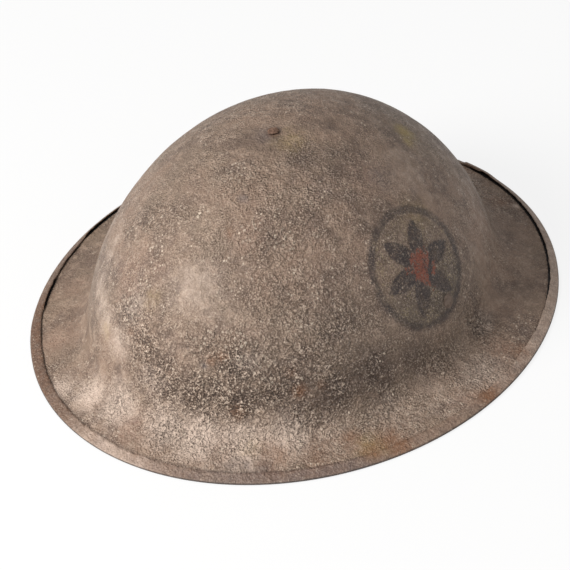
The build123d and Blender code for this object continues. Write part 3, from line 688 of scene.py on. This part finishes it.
def build_rim_strip():
    """The folded strip, from its proud end at the rear round to its hidden end."""
    fold, leaf = 1.1, 5.5
    section = [(6.55, -0.6), (5, -0.62), (3.4, -0.62), (2, -0.6), (1.1, -0.55), (0.5, -0.36),
               (0.12, 0.02), (0, 0.5), (0.12, 0.98), (0.5, 1.36), (1.1, 1.56), (3.4, 1.6),
               (6.55, 1.6), (6.6, 1.35), (6.55, 1.1), (3.4, 1.1), (1, 1.06), (0.62, 0.8),
               (0.55, 0.5), (0.62, 0.2), (1, -0.06), (3.4, -0.1), (6.55, -0.1), (6.62, -0.35)]
    inset, depth = np.array(section).T
    upper = (depth < 0.3) * 1
    travel = np.arange(STRIP_END_TURN, STRIP_UNDER_TURN - 360.0001, -0.5)[:, None]
    turn = travel % 360
    place = np.stack([RIM_HALF_WIDTH * sind(turn), -RIM_HALF_LENGTH * cosd(turn), 0 * turn], -1)
    ripple = noise_at(place, 0.06, 8, 2)
    ragged = noise_at(place, 0.25, 9)
    proud = 0.5 * (1 - smooth(STRIP_END_TURN - travel, 6.2, 11))
    bulge = 0.5 * np.exp(-((turn - 304) / 4.5)**2)
    width = np.interp(turn, LEAF_TURNS, LEAF_WIDTHS)
    narrow = (width - fold) / leaf * upper + (1 - upper)
    wide = np.where(inset > fold, fold + (inset - fold) * narrow, inset)
    wide = wide + (ragged * 0.3 + ripple * 0.4) * smooth(inset, 5, 6.6) - proud - bulge + 0.05
    lean = np.clip((wide - 0.8) / (width - 0.8), 0, 1)
    low = depth - (proud + leaf_lift(turn) * (1 + 0.35 * ripple) * lean) * upper
    spread = wide + low * sind(BRIM_OUTER_SLOPE)
    x = (RIM_HALF_WIDTH - spread) * sind(turn)
    y = -(RIM_HALF_LENGTH - spread) * cosd(turn)
    z = CROWN_Z - brim_drop(RIM_RADIUS - wide) - low * cosd(BRIM_OUTER_SLOPE)
    reach = np.hypot(x / RIM_HALF_WIDTH, y / RIM_HALF_LENGTH)
    allowed = np.minimum(1, (1 + 0.004 * proud) / reach)
    points = np.stack([x * allowed, y * allowed, np.maximum(z, 0)], -1)
    piece = make_piece("rim_strip_folded", points, flipped(sweep_faces(len(turn), len(section))),
                       drab_coat("worn_rim_paint", False), "painted_rim", "rim_strip")
    least = {kind: np.interp(turn, *zip(*table)) for kind, table in STRIP_WEAR.items()}
    # Darker towards the strip's lower side and underside: painted shade.
    least["dim"] = np.maximum(least["dim"], 0.95 * smooth(depth, 0.4, 1))
    least["smooth"] = 0.6
    weather_and_paint_light(piece, points, 1, least)
    # The strip's lower outer edge gets the near-black seam line as painted shade.
    edge = smooth(depth, -0.35, 0.1) * smooth(inset, 1.2, 0.3)
    paint_values(piece, "seam_distance", 0 * x)
    paint_values(piece, "seam_shade", 0.8 * edge + 0 * x)


def build_crown_rivet():
    """The crown's rivet, its two heads rusted and a little uneven."""
    rust = Finish("rusted_rivet_and_shade", 0.75, 0.35)
    mottle = rust.noise(0.55, 4, 0.65)
    fine = rust.noise(1.8)
    height = rust.place.dot((0, 0, 1))
    # The outer head's skirt is painted near black as shade under its rim; the mottle is rust.
    side = height.step(116.95, 116.4) * height.step(110, 112)
    colour = layered(mottle.step(0.4, 0.62).blend((92, 68, 54), (142, 112, 94)),
                     (fine.step(0.5, 0.7) * 0.6, (64, 48, 42)), (side * 0.85, (40, 27, 20)))
    rust.surface(colour, mottle + fine * 0.5, 0.5)
    outline = [(0.4, 117.44), (1.3, 117.42), (2.2, 117.34), (2.7, 117.16), (3, 116.86),
               (3.12, 116.5), (3.05, 116.2), (2.8, 116.04), (2.7, 115.92), (1.6, 115.8),
               (1.6, 102.95), (2.8, 102.9), (3, 102.7), (2.95, 102.2), (2.6, 101.75),
               (1.6, 101.58), (0.5, 101.57)]
    points = []
    for radius, level in outline:
        for angle in circle(40):
            x, y = radius * math.cos(angle), radius * math.sin(angle)
            spread = noise.fractal(Vector((x, y, level)) * 0.9, 1, 2, 3)
            pull = min(1 + 0.3 * spread, 1.12) if level > 115.9 or level < 103 else 1
            dip = max(0, 0.16 * spread) if level > 116.2 else 0
            points.append((x * pull, y * pull, level - dip))
    make_piece("crown_rivet_head", points, sweep_faces(len(outline), 40), rust, "rusty_rivet",
               "crown_rivet")


# Liner
BAND_HALF_THICKNESS = 0.8
BUFFER_SLOPE = 58
BUFFER_DEPTH = 9.65


def build_band(name, node, cloth, depth, top_drop, foot_drop, steps, waviness, seed):
    """A band that follows the shell's inside, with rounded edges and a soft wave."""
    turns = np.arange(steps) * 360 / steps
    ring = np.stack([90 * sind(turns), -105 * cosd(turns), np.full(steps, 60)], -1)
    wave = normal_at(90, turns) * (noise_at(ring, 0.045, seed, 2) * waviness)[:, None]
    drops = np.linspace(top_drop, foot_drop, 13)
    points = []
    for side, order in ((-1, drops), (1, drops[::-1])):
        for drop in order:
            rim = min(drop - top_drop, foot_drop - drop) / BAND_HALF_THICKNESS
            thin = math.sqrt(max(0, 1 - max(0, 1 - rim)**2))
            level = depth + BAND_HALF_THICKNESS * (1 + side * max(thin, 0.35))
            share = (drop - top_drop) / (foot_drop - top_drop)
            points.append(drop_point(turns, drop, level)[0] - wave * share)
    make_piece(name, points, grid_faces(len(points), steps, wrap_rows=True), cloth, "oilcloth",
               node)


def twine_finish(name, light, dark, pitch):
    twine = Finish(name, 0.9, 0.15)
    strand = twine.pattern("ShaderNodeTexWave", "Fac", None,
                           {"Scale": pitch, "Distortion": 1.5, "Detail": 1},
                           bands_direction="DIAGONAL")
    soiled = twine.noise(0.06, 4).step(0.45, 0.7) * 0.45
    colour = layered(strand.blend(dark, light), (soiled, (92, 78, 58)))
    twine.surface(colour, strand + twine.noise(2.2) * 0.6, 0.25, **{"Sheen Weight": 0.15})
    return twine


def band_stitches(name, drop, depth, spacing, length, finish):
    """A row of raised stitches round a band's inner face, their ends sunk in the cloth."""
    mean_radius, thread_radius = 95, 0.28
    around = 2 * math.pi * mean_radius
    count = int(around / spacing)
    half = 180 * length / around
    shares = np.linspace(0, 1, 6)[:, None]
    lift = np.sin(shares * np.pi) * 0.3 - 0.15
    parts = []
    for turn in np.arange(count) * 360 / count:
        start, _ = drop_point(turn - half, drop, depth)
        end, slope = drop_point(turn + half, drop, depth)
        path = start + (end - start) * shares - normal_at(slope, turn) * lift
        parts.append(tube(path, thread_radius, 6))
    make_piece(name, *join_parts(parts), finish, "cotton_twine")


def build_bands():
    cloth = Finish("black_oilcloth", 0.42)
    crease = cloth.cells(0.28, "DISTANCE_TO_EDGE")
    scuff = cloth.noise(0.2, 5, 0.7, (9, 2, 31))
    colour = layered(cloth.two_tone(0.05, (46, 41, 38), (58, 52, 46), detail=3),
                     (scuff.step(0.56, 0.74) * 0.6, (98, 86, 72)),
                     (crease.step(0.05, 0) * 0.5, (26, 22, 20)))
    cloth.surface(colour, crease.step(0, 0.12) * 0.7 + cloth.noise(1.4) * 0.4, 0.25,
                  Roughness=scuff.step(0.4, 0.7, 0.38, 0.62))
    build_band("outer_band_cloth", "outer_band", cloth, depth=3, top_drop=54, foot_drop=73,
               steps=240, waviness=0, seed=2)
    build_band("sweatband_cloth", "inner_band", cloth, depth=14.7, top_drop=50, foot_drop=87,
               steps=288, waviness=1.2, seed=4)
    thread = twine_finish("waxed_thread", (176, 160, 130), (120, 104, 80), 1.2)
    band_stitches("sweatband_stitches_low", 84, 16.3, 4.2, 2.9, thread)
    band_stitches("sweatband_stitches_high", 60.5, 16.3, 4.2, 2.9, thread)
    band_stitches("outer_band_stitches", 71, 4.6, 4.4, 3, thread)


def build_buffers():
    """Twelve rubber tubes bent along the bands."""
    rubber = Finish("aged_rubber", 0.7, 0.3)
    crack = rubber.cells(0.5, "DISTANCE_TO_EDGE")
    colour = layered(rubber.two_tone(0.08, (112, 74, 60), (90, 62, 52)),
                     (crack.step(0.06, 0) * 0.6, (52, 38, 33)))
    rubber.surface(colour, crack.step(0, 0.1) + rubber.noise(1.6) * 0.4, 0.2)
    bore, outer, sides = 2.5, 4.75, 20
    lip = [(bore, 0), (2.7, 0.12), (4.4, 0.12), (4.68, 0.2)]
    outline = [(0, size, push) for size, push in lip] + [(k, outer, 0) for k in range(1, 14)]
    outline += [(14, size, -push) for size, push in lip[::-1]]
    outline += [(k, bore, 0) for k in range(13, 0, -1)]
    angle = circle(sides)[:, None]
    for number in range(12):
        level = dome_point(30 * number + np.linspace(-16, 16, 65), BUFFER_SLOPE, BUFFER_DEPTH)
        run = np.cumsum(np.linalg.norm(np.diff(level, axis=0, prepend=level[:1]), axis=1))
        path = np.stack([np.interp(np.linspace(-19, 19, 15), run - run[32], level[:, k])
                         for k in range(3)], -1)
        along = unit(np.gradient(path, axis=0))
        rings = []
        for index, size, push in outline:
            side = unit(np.cross(along[index], (0, 0, 1)))
            top = np.cross(side, along[index])
            rings.append(path[index] + along[index] * push
                         + size * (np.cos(angle) * side + np.sin(angle) * top))
        make_piece(f"buffer_tube_{number + 1:02d}", rings,
                   grid_faces(len(outline), sides, wrap_rows=True), rubber, "rubber",
                   f"rubber_buffer_{number + 1:02d}")


def leather_finish(name, light, dark, worn):
    leather = Finish(name, 0.5, 0.45)
    pores = leather.cells(1.1, "DISTANCE_TO_EDGE")
    scuff = leather.noise(0.3, 5, 0.7, (5, 50, 3))
    colour = layered(leather.two_tone(0.06, light, dark, 0.38, 0.62),
                     (scuff.step(0.55, 0.72) * 0.5, worn), (leather.values("edge") * 0.6, worn),
                     (pores.step(0.06, 0) * 0.45, dark))
    leather.surface(colour, pores.step(0, 0.1) * 0.7 + leather.noise(2) * 0.3, 0.16,
                    Roughness=scuff.step(0.35, 0.7, 0.42, 0.66))
    return leather


def build_cross():
    """Two leather strips that cross under the crown, skived thin where they meet."""
    leather = leather_finish("black_leather", (52, 44, 38), (38, 32, 29), (92, 74, 58))
    half_width, top_depth, foot_depth, skived = 12, 1.3, 2.7, 0.75
    section = [(-1, 0.5), (-0.975, 0.15), (-0.92, 0), (-0.5, 0), (0, 0), (0.5, 0),
               (0.92, 0), (0.975, 0.15)]
    section += [(-across, 1 - layer) for across, layer in section]
    across, layer = np.array(section).T
    for number, turn in enumerate((45, 135)):
        end = dome_point(turn, BUFFER_SLOPE, top_depth)
        forward, aside = unit(end[:2])
        trial = np.linspace(60, 110, 501)
        levels = over_plan(trial * forward, trial * aside, top_depth)[:, 2]
        reach = trial[levels > CROWN_Z - 71].max()
        along = reach * np.sin(np.linspace(-np.pi / 2, np.pi / 2, 97))[:, None]
        thinned = skived * (1 - smooth(abs(along), 13, 22))
        top = top_depth + thinned * number
        foot = foot_depth - thinned * (1 - number)
        beside = across * half_width
        x = along * forward - beside * aside
        y = along * aside + beside * forward
        normal = normal_at(slope_over(x, y, 0), np.degrees(np.arctan2(x, -y)))
        depth = top + (foot - top) * layer
        points = over_plan(x, y, 0) - normal * depth[..., None]
        piece = make_piece(f"cross_strip_{number + 1}", points,
                           sweep_faces(len(along), len(section)), leather, "black_leather",
                           "crown_cross")
        paint_values(piece, "edge", (abs(across) > 0.95) + 0 * x)


def build_pad():
    """The thick felt pad under the crown, soft at its edge and pressed in round the washer."""
    felt = Finish("grey_felt", 0.95, 0.1)
    fibre = felt.noise(1.6, 5, 0.75, distortion=0.6)
    colour = layered(felt.two_tone(0.08, (138, 130, 118), (116, 108, 98)),
                     (fibre.step(0.5, 0.7) * 0.5, (168, 158, 142)))
    felt.surface(colour, fibre, 0.6, **{"Sheen Weight": 0.3})
    top_depth, foot_depth, steps = 3.05, 10.95, 96
    rings = [(8, 3.05), (16, 3.05), (24, 3.05), (32, 3.05), (39, 3.08), (44, 3.3), (46.6, 4.1),
             (47.7, 5.4), (47.9, 7), (47.6, 8.6), (46.4, 10), (44, 10.75), (39, 10.95),
             (32, 10.95), (26, 10.9), (20, 10.8), (16, 10.6), (13, 10.4), (11, 10.6), (8, 10.9),
             (3.5, 10.95)]
    radius, depth = np.array(rings).T[..., None]
    angle = circle(steps)
    poles = [over_plan(np.zeros(1), np.full(1, 1e-4), end) for end in (top_depth, foot_depth)]
    sides = over_plan(radius * np.cos(angle), radius * np.sin(angle), depth).reshape(-1, 3)
    points = np.concatenate([poles[0], sides, poles[1]])
    fuzz = np.abs(noise_at(points, 0.3, 6)) * 0.14 * (np.hypot(*points[:, :2].T) > 14)
    away = unit((points - (0, 0, CROWN_Z - 7)) * (0.15, 0.15, 1))
    piece = make_piece("felt_pad_soft", points - away * fuzz[:, None],
                       egg_faces(len(rings), steps), felt, "felt", "felt_pad")


# Head net: a knotted half-egg laced to the sweatband's top
NET_BASE_Z = 65.949
NET_HALF_WIDTH = 67.045
NET_HALF_LENGTH = 82.837
NET_RISE = 30
NET_HOLE_Z = 94.864
NET_INSET = 0.9


def net_point(turn, climb, inset=NET_INSET):
    """A point of the net's dome, from its foot at 0 degrees."""
    return np.array([(NET_HALF_WIDTH - inset) * cosd(climb) * sind(turn),
                     -(NET_HALF_LENGTH - inset) * cosd(climb) * cosd(turn),
                     NET_BASE_Z + (NET_RISE - inset) * sind(climb)])


def build_net():
    twine = twine_finish("cotton_twine", (172, 154, 120), (118, 101, 74), 0.9)
    columns = 32
    climbs = [2, 13, 24, 35, 46, 56, 64.5, 71, 74.6]
    nodes = {}
    wander = np.random.default_rng(7)
    for row, climb in enumerate(climbs):
        loose = 0 if row in (0, len(climbs) - 1) else 0.5
        for column in range(columns):
            turn = (column + 0.5 * (row % 2)) * 360 / columns + wander.normal() * loose
            nodes[row, column] = (turn, climb + wander.normal() * loose)
    parts = []
    for row in range(len(climbs) - 1):
        for column in range(columns):
            for ahead in (0, 1):
                turn, climb = nodes[row, column]
                other_turn, other_climb = nodes[row + 1, (column + row % 2 - ahead) % columns]
                gap = (other_turn - turn + 180) % 360 - 180
                path = [net_point(turn + gap * share, climb + (other_climb - climb) * share,
                                  NET_INSET + 0.25 * math.sin(share * math.pi))
                        for share in np.linspace(0, 1, 5)]
                parts.append(tube(path, 0.55, 6))
    for (row, _), (turn, climb) in nodes.items():
        middle = net_point(turn, climb)
        beyond = unit(net_point(turn + 1, climb) - middle)
        upper = unit(net_point(turn, climb + 1) - middle)
        size = np.array((1.15, 1.25, 0.82)) * (1 if row < 7 else 0.8)
        parts.append(lump(middle, size, (beyond, upper, np.cross(beyond, upper))))
    make_piece("head_net_twine", *join_parts(parts), twine, "cotton_twine", "head_net")
    path = []
    for turn in np.arange(512) * 360 / 512:
        phase = math.radians(64 * turn)
        path.append(drop_point(turn, 52 - 2.9 * math.cos(phase), 15.5 + 1.75 * math.sin(phase))[0])
    make_piece("net_lacing", *tube(path, 0.45, 6, closed=True), twine, "cotton_twine")


def build_lace():
    """The drawstring through the net's top, knotted at the rear with two short tails."""
    cotton = twine_finish("braided_lace", (196, 180, 148), (140, 122, 92), 1.4)
    level = NET_HOLE_Z - NET_INSET
    knot_y = 15.1
    angle = circle(120)
    radius = 16.4 + 0.22 * np.sin(angle * 32)
    ring = np.stack([radius * np.cos(angle), radius * np.sin(angle),
                     level + 0.5 * np.cos(angle * 32)], -1)
    parts = [tube(ring, 1.15, 10, closed=True),
             lump((0, knot_y, level), (3, 2.3, 2.1), rings=10, sides=14),
             tube([(-1.6, 13.4, level + 1.2), (-0.6, 12.95, level + 0.2),
                   (0.5, 12.95, level - 0.4), (1.7, 13.5, level - 1.4)], 0.9, 8)]
    share = np.linspace(0, 1, 12)
    run = 1 + 12.4 * share
    for sign in (-1, 1):
        path = np.stack([-sign * (sind(35) * run - 0.5 * np.sin(share * np.pi)),
                         knot_y + 0.4 * share * sign, level - cosd(35) * run], -1)
        parts.append(tube(path, [1] * 10 + [1.2] * 2, 10))
    make_piece("net_drawstring", *join_parts(parts), cotton, "cotton_lace", "net_lace")


# Chin strap. Its side views have X from the wire loop's bar inwards and Y up
STRAP_PIVOT_X = 101.74
STRAP_PIVOT_Z = 10.112
LOOP_RADIUS = 1.25 + 0.06 + 1
FLOOR_LEVEL = 0.4 + 1 - STRAP_PIVOT_Z
PLY_PITCH = 2.1
BUCKLE_LOOP_RADIUS = 1 + 0.08 + 1
BUCKLE_LEVEL = FLOOR_LEVEL + BUCKLE_LOOP_RADIUS
SHORT_REACH = 58
LONG_REACH = 88
HEAD_END = 37


def line(start, end, step=1.2):
    count = max(2, int(math.dist(start, end) / step))
    return list(np.linspace(start, end, count + 1))


def glide(start, end, count=12):
    """Two equal arcs that leave one point level and reach the other level."""
    run, rise = end[0] - start[0], end[1] - start[1]
    radius = (run**2 + rise**2) / (4 * abs(rise))
    angles = 2 * math.atan2(abs(rise), abs(run)) * np.arange(count + 1) / count
    bow = np.stack([math.copysign(radius, run) * np.sin(angles),
                    math.copysign(radius, rise) * (1 - np.cos(angles))], -1)
    return [*(np.array(start) + bow), *(np.array(end) - bow[-2::-1])]


def arc(centre, radius, start, end, count=16):
    return [(centre[0] + radius * cosd(a), centre[1] + radius * sind(a))
            for a in np.linspace(start, end, count + 1)]


def build_strap(name, node, body, route, side, leather, seed):
    """A leather strap round its wire loop and along a route, with rounded, burnished edges."""
    ply_level = -LOOP_RADIUS + PLY_PITCH
    sides_view = line((17, ply_level), (5, ply_level))
    sides_view += glide((5, ply_level), (0, LOOP_RADIUS), 6)
    sides_view += arc((0, 0), LOOP_RADIUS, 90, 270)
    sides_view += line((0, -LOOP_RADIUS), (17, -LOOP_RADIUS))
    sides_view += glide((17, -LOOP_RADIUS), (HEAD_END, FLOOR_LEVEL))
    path = []
    for point in sides_view + route:
        if not path or math.dist(point, path[-1]) > 0.15:
            path.append(point)
    path = np.array(path)
    tangent = unit(np.gradient(path, axis=0))
    normal = np.stack([-tangent[:, 1], tangent[:, 0]], -1)
    section = [(-8, 0, 1), (-7.9, 0.55, 1), (-7.5, 0.92, 0.8), (-6.9, 1, 0.3),
               (-6.4, 0.88, 0), (-5.9, 1, 0), (-3, 1, 0)]
    section += [(0, 1, 0)] + [(-across, height, edge) for across, height, edge in section[::-1]]
    section += [(across, -height, edge) for across, height, edge in section[1:-1][::-1]]
    across, height, edge = np.array(section).T
    run = np.cumsum(np.linalg.norm(np.diff(path, axis=0, prepend=path[:1]), axis=1))
    to_end = np.minimum(run, run[-1] - run)[:, None]
    narrow = 1 - 0.1 * (1 - np.minimum(1, to_end / 2))
    thin = 1 - 0.35 * (1 - np.minimum(1, to_end / 1.2))
    skin = path[:, None] + normal[:, None] * (height * thin)[..., None]
    points = np.stack([side * (STRAP_PIVOT_X - skin[..., 0]), across * narrow,
                       STRAP_PIVOT_Z + skin[..., 1]], -1)
    points[..., 1] += noise_at(points, 0.12, seed, 2) * 0.096
    faces = sweep_faces(len(path), len(section))
    piece = make_piece(name, points, flipped(faces) if side < 0 else faces, leather,
                       "strap_leather", node, body)
    paint_values(piece, "edge", edge + 0 * points[..., 0])


def build_straps():
    leather = leather_finish("russet_leather", (112, 78, 52), (84, 58, 40), (58, 42, 32))
    short = line((HEAD_END, FLOOR_LEVEL), (SHORT_REACH, FLOOR_LEVEL))
    short += arc((SHORT_REACH, BUCKLE_LEVEL), BUCKLE_LOOP_RADIUS, -90, 90)
    neck = (SHORT_REACH - 5, FLOOR_LEVEL + PLY_PITCH)
    short += glide((SHORT_REACH, BUCKLE_LEVEL + BUCKLE_LOOP_RADIUS), neck, 6)
    short += line(neck, (neck[0] - 12, neck[1]))
    build_strap("strap_short_leather", "strap_short", "short_strap", short, 1, leather, 21)
    fold_radius = 6
    long = line((HEAD_END, FLOOR_LEVEL), (LONG_REACH, FLOOR_LEVEL))
    long += arc((LONG_REACH, FLOOR_LEVEL + fold_radius), fold_radius, -90, 90, 24)
    rest = (LONG_REACH - 26, FLOOR_LEVEL + 2.4)
    long += glide((LONG_REACH, FLOOR_LEVEL + 2 * fold_radius), rest, 16)
    long += line(rest, (rest[0] - 20, rest[1]))
    build_strap("strap_long_leather", "strap_long", "long_strap", long, -1, leather, 22)


# Metal fittings that keep their solid's shape


def metal_finish(name, light, dark, tarnish, roughness):
    metal = Finish(name, roughness, metallic=0.85)
    spot = metal.noise(0.6, 4, 0.65, (4, 9, 44))
    colour = layered(metal.two_tone(0.12, light, dark), (spot.step(0.48, 0.66) * 0.75, tarnish))
    metal.surface(colour, spot + metal.noise(2.4) * 0.4, 0.12,
                  Roughness=spot.step(0.4, 0.65, roughness, roughness + 0.3))
    return metal


# Name, light colour, dark colour, tarnish and roughness, then the nodes
METALS = [
    ("dull_liner_steel", (134, 128, 118), (104, 98, 90), (88, 66, 52), 0.42,
     ("crown_washer", "cross_rivets", "buffer_rivets")),
    ("rusted_wire", (120, 108, 98), (92, 80, 70), (96, 66, 48), 0.45, ("bail_left", "bail_right")),
    ("tarnished_brass", (168, 140, 88), (126, 104, 66), (78, 64, 44), 0.38,
     ("strap_rivets_short", "strap_rivets_long")),
    ("dark_brass", (134, 114, 78), (96, 82, 58), (58, 50, 40), 0.4,
     ("buckle_frame", "buckle_bar")),
]
# The edges that are rounded: their width and segments
SOFT_EDGES = {"buckle_frame": (0.35, 3), "buckle_bar": (0.2, 2), "clip_left": (0.2, 2),
              "clip_right": (0.2, 2), "crown_washer": (0.2, 2)}


def dress(name, finish):
    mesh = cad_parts[name].data
    mesh.materials.clear()
    mesh.materials.append(finish.material)


def dress_fittings():
    for name, light, dark, tarnish, roughness, nodes in METALS:
        finish = metal_finish(name, light, dark, tarnish, roughness)
        for node in nodes:
            dress(node, finish)
    painted = Finish("painted_fitting", 0.62, 0.35)
    mottle = painted.noise(0.4, 4, 0.65)
    fine = painted.noise(1.2)
    colour = layered(mottle.step(0.4, 0.62).blend((124, 107, 95), (100, 84, 73)),
                     (fine.step(0.56, 0.7) * 0.6, (104, 70, 50)))
    painted.surface(colour, mottle + fine, 0.3)
    for node in ("clip_left", "clip_right", "clip_rivet_left", "clip_rivet_right"):
        dress(node, painted)
    for node in ("bail_left", "bail_right"):
        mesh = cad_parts[node].data
        mesh.polygons.foreach_set("use_smooth", [True] * len(mesh.polygons))
    for node, (width, segments) in SOFT_EDGES.items():
        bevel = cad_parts[node].modifiers.new("edges", "BEVEL")
        bevel.width = width * MM
        bevel.segments = segments
        bevel.limit_method = "ANGLE"
        bevel.angle_limit = math.radians(40)
        bevel.use_clamp_overlap = True


# Camera, floor and light
WHITE = (1, 1, 1, 1)
# The camera as fitted to the photograph: its place in metres, its turn and its lens
CAMERA_PLACE = (0.76289, -0.9942, 0.98209)
CAMERA_TURN = (52.0432, 5.7109, 33.2526)
CAMERA_LENS = 179.663


def build_camera():
    """The camera at the photograph's angle, aimed so that the helmet sits where it does there."""
    camera = new_object("camera", bpy.data.cameras.new("camera"))
    camera.location = CAMERA_PLACE
    camera.rotation_euler = np.radians(CAMERA_TURN)
    camera.data.sensor_width = 36
    camera.data.lens = CAMERA_LENS
    camera.data.clip_start = 0.05
    camera.data.clip_end = 50
    scene.camera = camera


def area_light(name, place, size, power, colour):
    data = bpy.data.lights.new(name, "AREA")
    data.shape = "DISK"
    data.size = size
    data.energy = power
    data.color = colour
    lamp = new_object(name, data)
    lamp.location = place
    aim = Vector((0, 0, 0.05)) - Vector(place)
    lamp.rotation_euler = aim.to_track_quat("-Z", "Y").to_euler()


def build_floor():
    """A pale floor, whiter to the camera. From below it is clear and lets light through."""
    paint = Finish("pale_floor", 0.9)
    tree = paint.tree
    feed(tree, paint.shader, {"Base Color": (0.86, 0.86, 0.86, 1)})
    glow = add_node(tree, "ShaderNodeEmission", 0, {"Color": WHITE, "Strength": 1})
    camera_ray = add_node(tree, "ShaderNodeLightPath", "Is Camera Ray", {})
    shadow_ray = add_node(tree, "ShaderNodeLightPath", "Is Shadow Ray", {})
    below = add_node(tree, "ShaderNodeNewGeometry", "Backfacing", {})
    clear = add_node(tree, "ShaderNodeBsdfTransparent", 0, {})
    plain = Value(tree, paint.shader.outputs[0])
    surface = below.highest(shadow_ray).mix((camera_ray * 0.82).mix(plain, glow), clear)
    feed(tree, tree.nodes["Material Output"], {"Surface": surface})
    size = 8
    mesh = bpy.data.meshes.new("floor")
    mesh.from_pydata([(-size, -size, 0), (size, -size, 0), (size, size, 0), (-size, size, 0)],
                     [], [(0, 1, 2, 3)])
    mesh.materials.append(paint.material)
    new_object("floor", mesh)


def build_world():
    """An even light, which the camera sees as white."""
    world = bpy.data.worlds.new("studio")
    scene.world = world
    world.use_nodes = True
    tree = world.node_tree
    background = tree.nodes["Background"]
    feed(tree, background, {"Color": WHITE, "Strength": 0.42})
    white = add_node(tree, "ShaderNodeBackground", 0, {"Color": WHITE, "Strength": 1})
    camera_ray = add_node(tree, "ShaderNodeLightPath", "Is Camera Ray", {})
    surface = camera_ray.mix(Value(tree, background.outputs[0]), white)
    feed(tree, tree.nodes["World Output"], {"Surface": surface})


build_camera()
build_floor()
build_world()
area_light("key", (-0.62, -1.12, 0.98), 0.8, 27, (1, 0.98, 0.955))
area_light("fill", (1.3, -0.5, 1.1), 1.2, 3, (0.95, 0.97, 1))
area_light("under", (0.3, -0.5, -1.1), 1, 16, (1, 1, 1))
scene.view_settings.view_transform = "Standard"

build_shell()
build_rim_strip()
build_crown_rivet()
build_bands()
build_buffers()
build_cross()
build_pad()
build_net()
build_lace()
build_straps()
dress_fittings()
